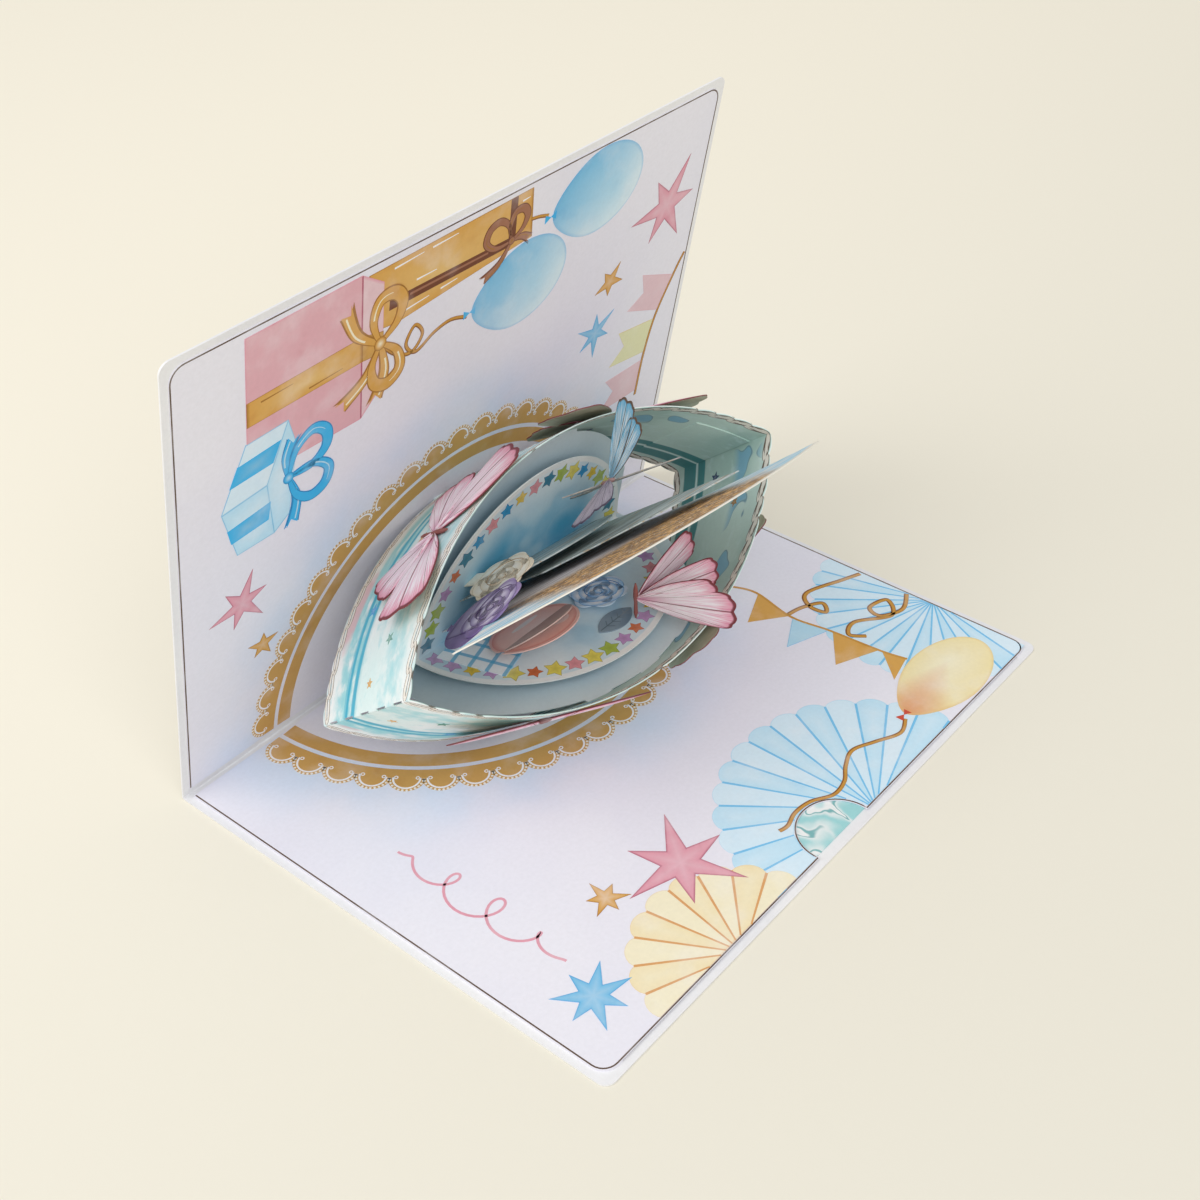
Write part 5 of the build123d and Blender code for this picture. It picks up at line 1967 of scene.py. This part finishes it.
@dataclass
class DieCuts:
    """Print on the small flowers, balloons and leaf."""

    purple_plane: Point = (18, -16)
    slot_place: float = -50.04
    slot_clear: float = 0.7

    FAR = 99.0
    LOW = -0.9
    LEAF_VEIN = (0.12, 0.17, 0.21)

    def build(self, ink: Material) -> None:
        """Prints each die-cut."""
        sheet = CARD.sheet
        purple = CARD.upright(*self.purple_plane)
        balloon = purple.moved(-43.9, 82, sheet + CARD.fit - sheet / 2).flipped()
        violet = ((0.14, 0.09, 0.24), (0.38, 0.3, 0.52), (0.62, 0.54, 0.74))
        left = self.slot_place + self.slot_clear
        self.ball("purple_balloon_print", balloon, 10.1, 12.1, violet, ink, left + 43.9)
        rose = purple.moved(-41.9, 86.5, -sheet / 2).flipped()
        lilac = ((0.09, 0.05, 0.17), (0.33, 0.25, 0.48), (0.72, 0.66, 0.83))
        self.rose("purple_rose_print", rose, 10.5, lilac, ink, left + 41.9)
        cream = CARD.leaning((-22.6, 72.2, 9.2), -12, 10)
        ivory = ((0.5, 0.34, 0.2), (0.93, 0.83, 0.66), (1, 0.96, 0.88))
        self.rose("cream_rose_print", cream.moved(0, 0, sheet / 2), 10, ivory, ink)
        blue = self.leaning((10, 13.2), 10)
        azure = ((0.08, 0.26, 0.56), (0.36, 0.64, 0.95), (0.97, 0.98, 1))
        self.rose("blue_rose_print", blue.moved(0, 7.99, sheet / 2), 8.5, azure, ink)
        pink = self.leaning((-16, 9.3), 21.5)
        salmon = ((0.78, 0.32, 0.28), (0.97, 0.6, 0.54), (1, 0.88, 0.86))
        self.ball("pink_balloon_print", pink.moved(0, 11.75, sheet / 2), 13, 11.4, salmon, ink)
        self.leaf(ink)

    def leaning(self, place: Point, lean: float) -> Face:
        """Gives the plane of a die-cut that leans up from the plate, with its foot at the origin."""
        lift = CARD.plate_thickness + CARD.fit / 2 + CARD.sheet / 2 * cos(radians(lean))
        return CARD.panel(False, CARD.plate_level).moved(*place, lift).turned(lean)

    def ball(self, name: str, face: Face, half_width: float, half_height: float, tints: Tints,
             ink: Material, left: float = -FAR) -> None:
        """Prints a shaded ball.

        Args:
            name: Name of the piece.
            face: The face to print on.
            half_width: Half the ball's width.
            half_height: Half its height.
            tints: Its edge, body and light.
            ink: The ink.
            left: Where the print stops on the left.
        """
        sheet = InkSheet(name, face.place)
        box = (left, self.LOW * half_height, self.FAR, self.FAR)
        turns = [2 * pi * i / 40 for i in range(40)]
        loop = clip_to_box([(half_width * cos(t), half_height * sin(t)) for t in turns], box)
        sheet.wash(loop, tints[0], tints[1], tints[2], 0, (0.15 * half_width, 0.2 * half_height), 0.88)
        for x, y, width, height in ((0.42, 0.34, 0.26, 0.3), (0.1, -0.45, 0.4, 0.1)):
            shine = [(half_width * (x + width * cos(t)), half_height * (y + height * sin(t)))
                     for t in turns[::2]]
            light = blend(tints[2], Ink.WHITE, 0.5)
            sheet.wash(clip_to_box(shine, box), tints[2], light, Ink.WHITE, 1, rim=0.6)
        sheet.build(ink)

    def rose(self, name: str, face: Face, radius: float, tints: Tints, ink: Material,
             left: float = -FAR) -> None:
        """Prints a rose as petals that turn around its heart.

        Args:
            name: Name of the piece.
            face: The face to print on.
            radius: The rose's radius.
            tints: Colours of the petals' edges, bodies and light.
            ink: The ink.
            left: Where the print stops on the left.
        """
        sheet = InkSheet(name, face.place)
        line, body, light = tints
        box = (left, self.LOW * radius, self.FAR, self.FAR)
        rings = ((0.5, 0.47, 5, 0.0), (0.3, 0.4, 4, 30), (0.12, 0.28, 3, 8), (0.0, 0.15, 1, 0.0))
        for level, (reach, size, petals, turn) in enumerate(rings):
            for i in range(petals):
                angle = radians(turn + 360 * i / petals)
                way = Vector((cos(angle), sin(angle)))
                side = Vector((-way.y, way.x))
                petal = []
                for k in range(18):
                    t = 2 * pi * k / 18
                    spot = way * (reach + size * 0.86 * cos(t)) + side * (size * 1.22 * sin(t) + 0.05)
                    petal.append((spot.x * radius, spot.y * radius))
                petal = clip_to_box(petal, box)
                if len(petal) > 2:
                    spot = (way * (reach + size * 0.45)) * radius
                    inside = min(max(p[0] for p in petal), max(min(p[0] for p in petal), spot.x))
                    tone = blend(body, line, 0.1 * level)
                    sheet.wash(petal, line, tone, light, 2 * level, (inside, max(spot.y, box[1])), 0.93)
        turns = [0.05 + 0.02 * k for k in range(36)]
        swirl = [(radius * r * cos(9 * r), radius * r * sin(9 * r)) for r in turns]
        swirl = [p for p in swirl if p[0] > left and p[1] > box[1]]
        sheet.stroke(swirl, radius * 0.022, line, 9)
        sheet.build(ink)

    def leaf(self, ink: Material) -> None:
        """Prints the leaf's veins."""
        face = CARD.panel(False, CARD.plate_level, CARD.plate_thickness + CARD.sheet).moved(4.5, 31.8)
        sheet = InkSheet("leaf_print", face.place)
        sheet.stroke([(-6.2, 0.0), (6.2, 0.0)], 0.35, self.LEAF_VEIN, 1)
        for x in (-3.6, -1.2, 1.2, 3.6):
            for side in (1, -1):
                sheet.stroke([(x, 0.0), (x + 1.5, side * 1.7)], 0.25, self.LEAF_VEIN, 0)
        sheet.build(ink)


class Studio:
    """Floor, lamps and camera."""

    EYE = Vector((-278.45, -230.91, 329.46))
    RIGHT = Vector((0.63951, -0.76845, -0.02237))
    DOWN = Vector((-0.48781, -0.38313, -0.78438))
    AHEAD = Vector((0.59419, 0.51253, -0.61988))
    LENS = 51.49
    SENSOR = 36.0
    AIM = Vector((0, 0, 0.05))
    FLOOR_HALF = 3.0
    FLOOR_DROP = 0.05

    def build(self, finishes: Finishes) -> None:
        """Makes the whole stage."""
        self.floor(finishes["table_finish"])
        self.lamps()
        self.camera()
        bpy.context.scene.view_settings.view_transform = "Standard"

    def floor(self, finish: Material) -> None:
        """Makes the pale floor."""
        half = self.FLOOR_HALF
        corners = [(-half, -half, 0), (half, -half, 0), (half, half, 0), (-half, half, 0)]
        mesh = bpy.data.meshes.new("floor")
        mesh.from_pydata(corners, [], [(0, 1, 2, 3)])
        mesh.materials.append(finish)
        floor = new_object("floor", mesh)
        floor.location.z = -self.FLOOR_DROP * MM
        floor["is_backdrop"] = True

    def lamps(self) -> None:
        """Sets a large soft lamp at the upper left, a weak one in front and an even sky."""
        self.lamp("key", Vector((-2, 0.9, 2.3)), 2.4, 36)
        self.lamp("fill", Vector((-1.5, -2.3, 2.4)), 2.6, 44)
        world = bpy.data.worlds.new("studio")
        bpy.context.scene.world = world
        world.use_nodes = True
        sky = world.node_tree.nodes["Background"]
        sky.inputs["Color"].default_value = (1, 0.99, 0.97, 1)
        sky.inputs["Strength"].default_value = 0.62

    def lamp(self, name: str, place: Vector, size: float, power: float) -> None:
        """Adds an area lamp that points at the card.

        Args:
            name: Name of the lamp.
            place: Where it is, in metres.
            size: Its side, in metres.
            power: Its power, in watts.
        """
        data = bpy.data.lights.new(name, "AREA")
        data.size = size
        data.energy = power
        lamp = new_object(name, data)
        lamp.location = place
        lamp.rotation_euler = (self.AIM - place).to_track_quat("-Z", "Y").to_euler()

    def camera(self) -> None:
        """Sets the camera at the photograph's viewing angle."""
        data = bpy.data.cameras.new("camera")
        data.sensor_width = self.SENSOR
        data.lens = self.LENS
        data.clip_start = 0.01
        camera = new_object("camera", data)
        turn = Matrix((self.RIGHT, -self.DOWN, -self.AHEAD)).transposed()
        camera.matrix_world = Matrix.Translation(self.EYE * MM) @ turn.to_4x4()
        bpy.context.scene.camera = camera


class Dressing:
    """Gives each plain sheet its finish."""

    NODES = {
        "cover": "cover_finish", "back_liner": "liner_finish", "base_liner": "liner_finish",
        "note_card": "marbled_finish", "side_wall": "wall_finish", "floor_sheet": "floor_finish",
        "star_plate": "plate_finish",
        "front_panel": "brocade_finish", "middle_panel": "green_finish", "back_panel": "green_finish",
        "butterfly_stem": "stem_finish", "purple_balloon": "purple_finish", "purple_rose": "purple_finish",
        "cream_rose": "cream_finish", "blue_rose": "blue_print_finish", "pink_balloon": "pink_finish",
        "pink_balloon_slice": "slice_finish", "leaf": "leaf_finish", "gingham_tag": "gingham_finish",
    }

    def build(self, nodes: dict[str, bpy.types.Object], finishes: Finishes) -> None:
        """Assigns the finishes.

        Args:
            nodes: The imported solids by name.
            finishes: The materials.
        """
        for node, finish in self.NODES.items():
            slots = nodes[node].data.materials
            slots.clear()
            slots.append(finishes[finish])


def write_sizes(cad: object) -> None:
    """Works out the solids' box and the dressed card's box as plain lists; nothing is written or kept.

    Args:
        cad: The solids' box, taken before anything was added.
    """
    boxes = {"cad": cad, "visual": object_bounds()}
    plain = {key: [[float(v) for v in corner] for corner in box] for key, box in boxes.items()}


def main() -> None:
    """Builds the dressed card and its stage."""
    logging.basicConfig(level=logging.INFO, format="%(message)s")
    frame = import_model()
    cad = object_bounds()
    finishes = Finishes()
    ink = finishes["ink_finish"]
    Dressing().build(frame["nodes"], finishes)
    back, base = CARD.panel(True), CARD.panel(False)
    BackPrint(back).build(ink)
    BasePrint(base).build(ink)
    Doily().build("back_doily", back, ink)
    Doily().build("base_doily", base, ink)
    RingPrint().build(ink)
    PlatePrint().build(ink)
    Flock().build(finishes)
    DieCuts().build(ink)
    Studio().build(finishes)
    write_sizes(cad)


if __name__ == "__main__":
    main()
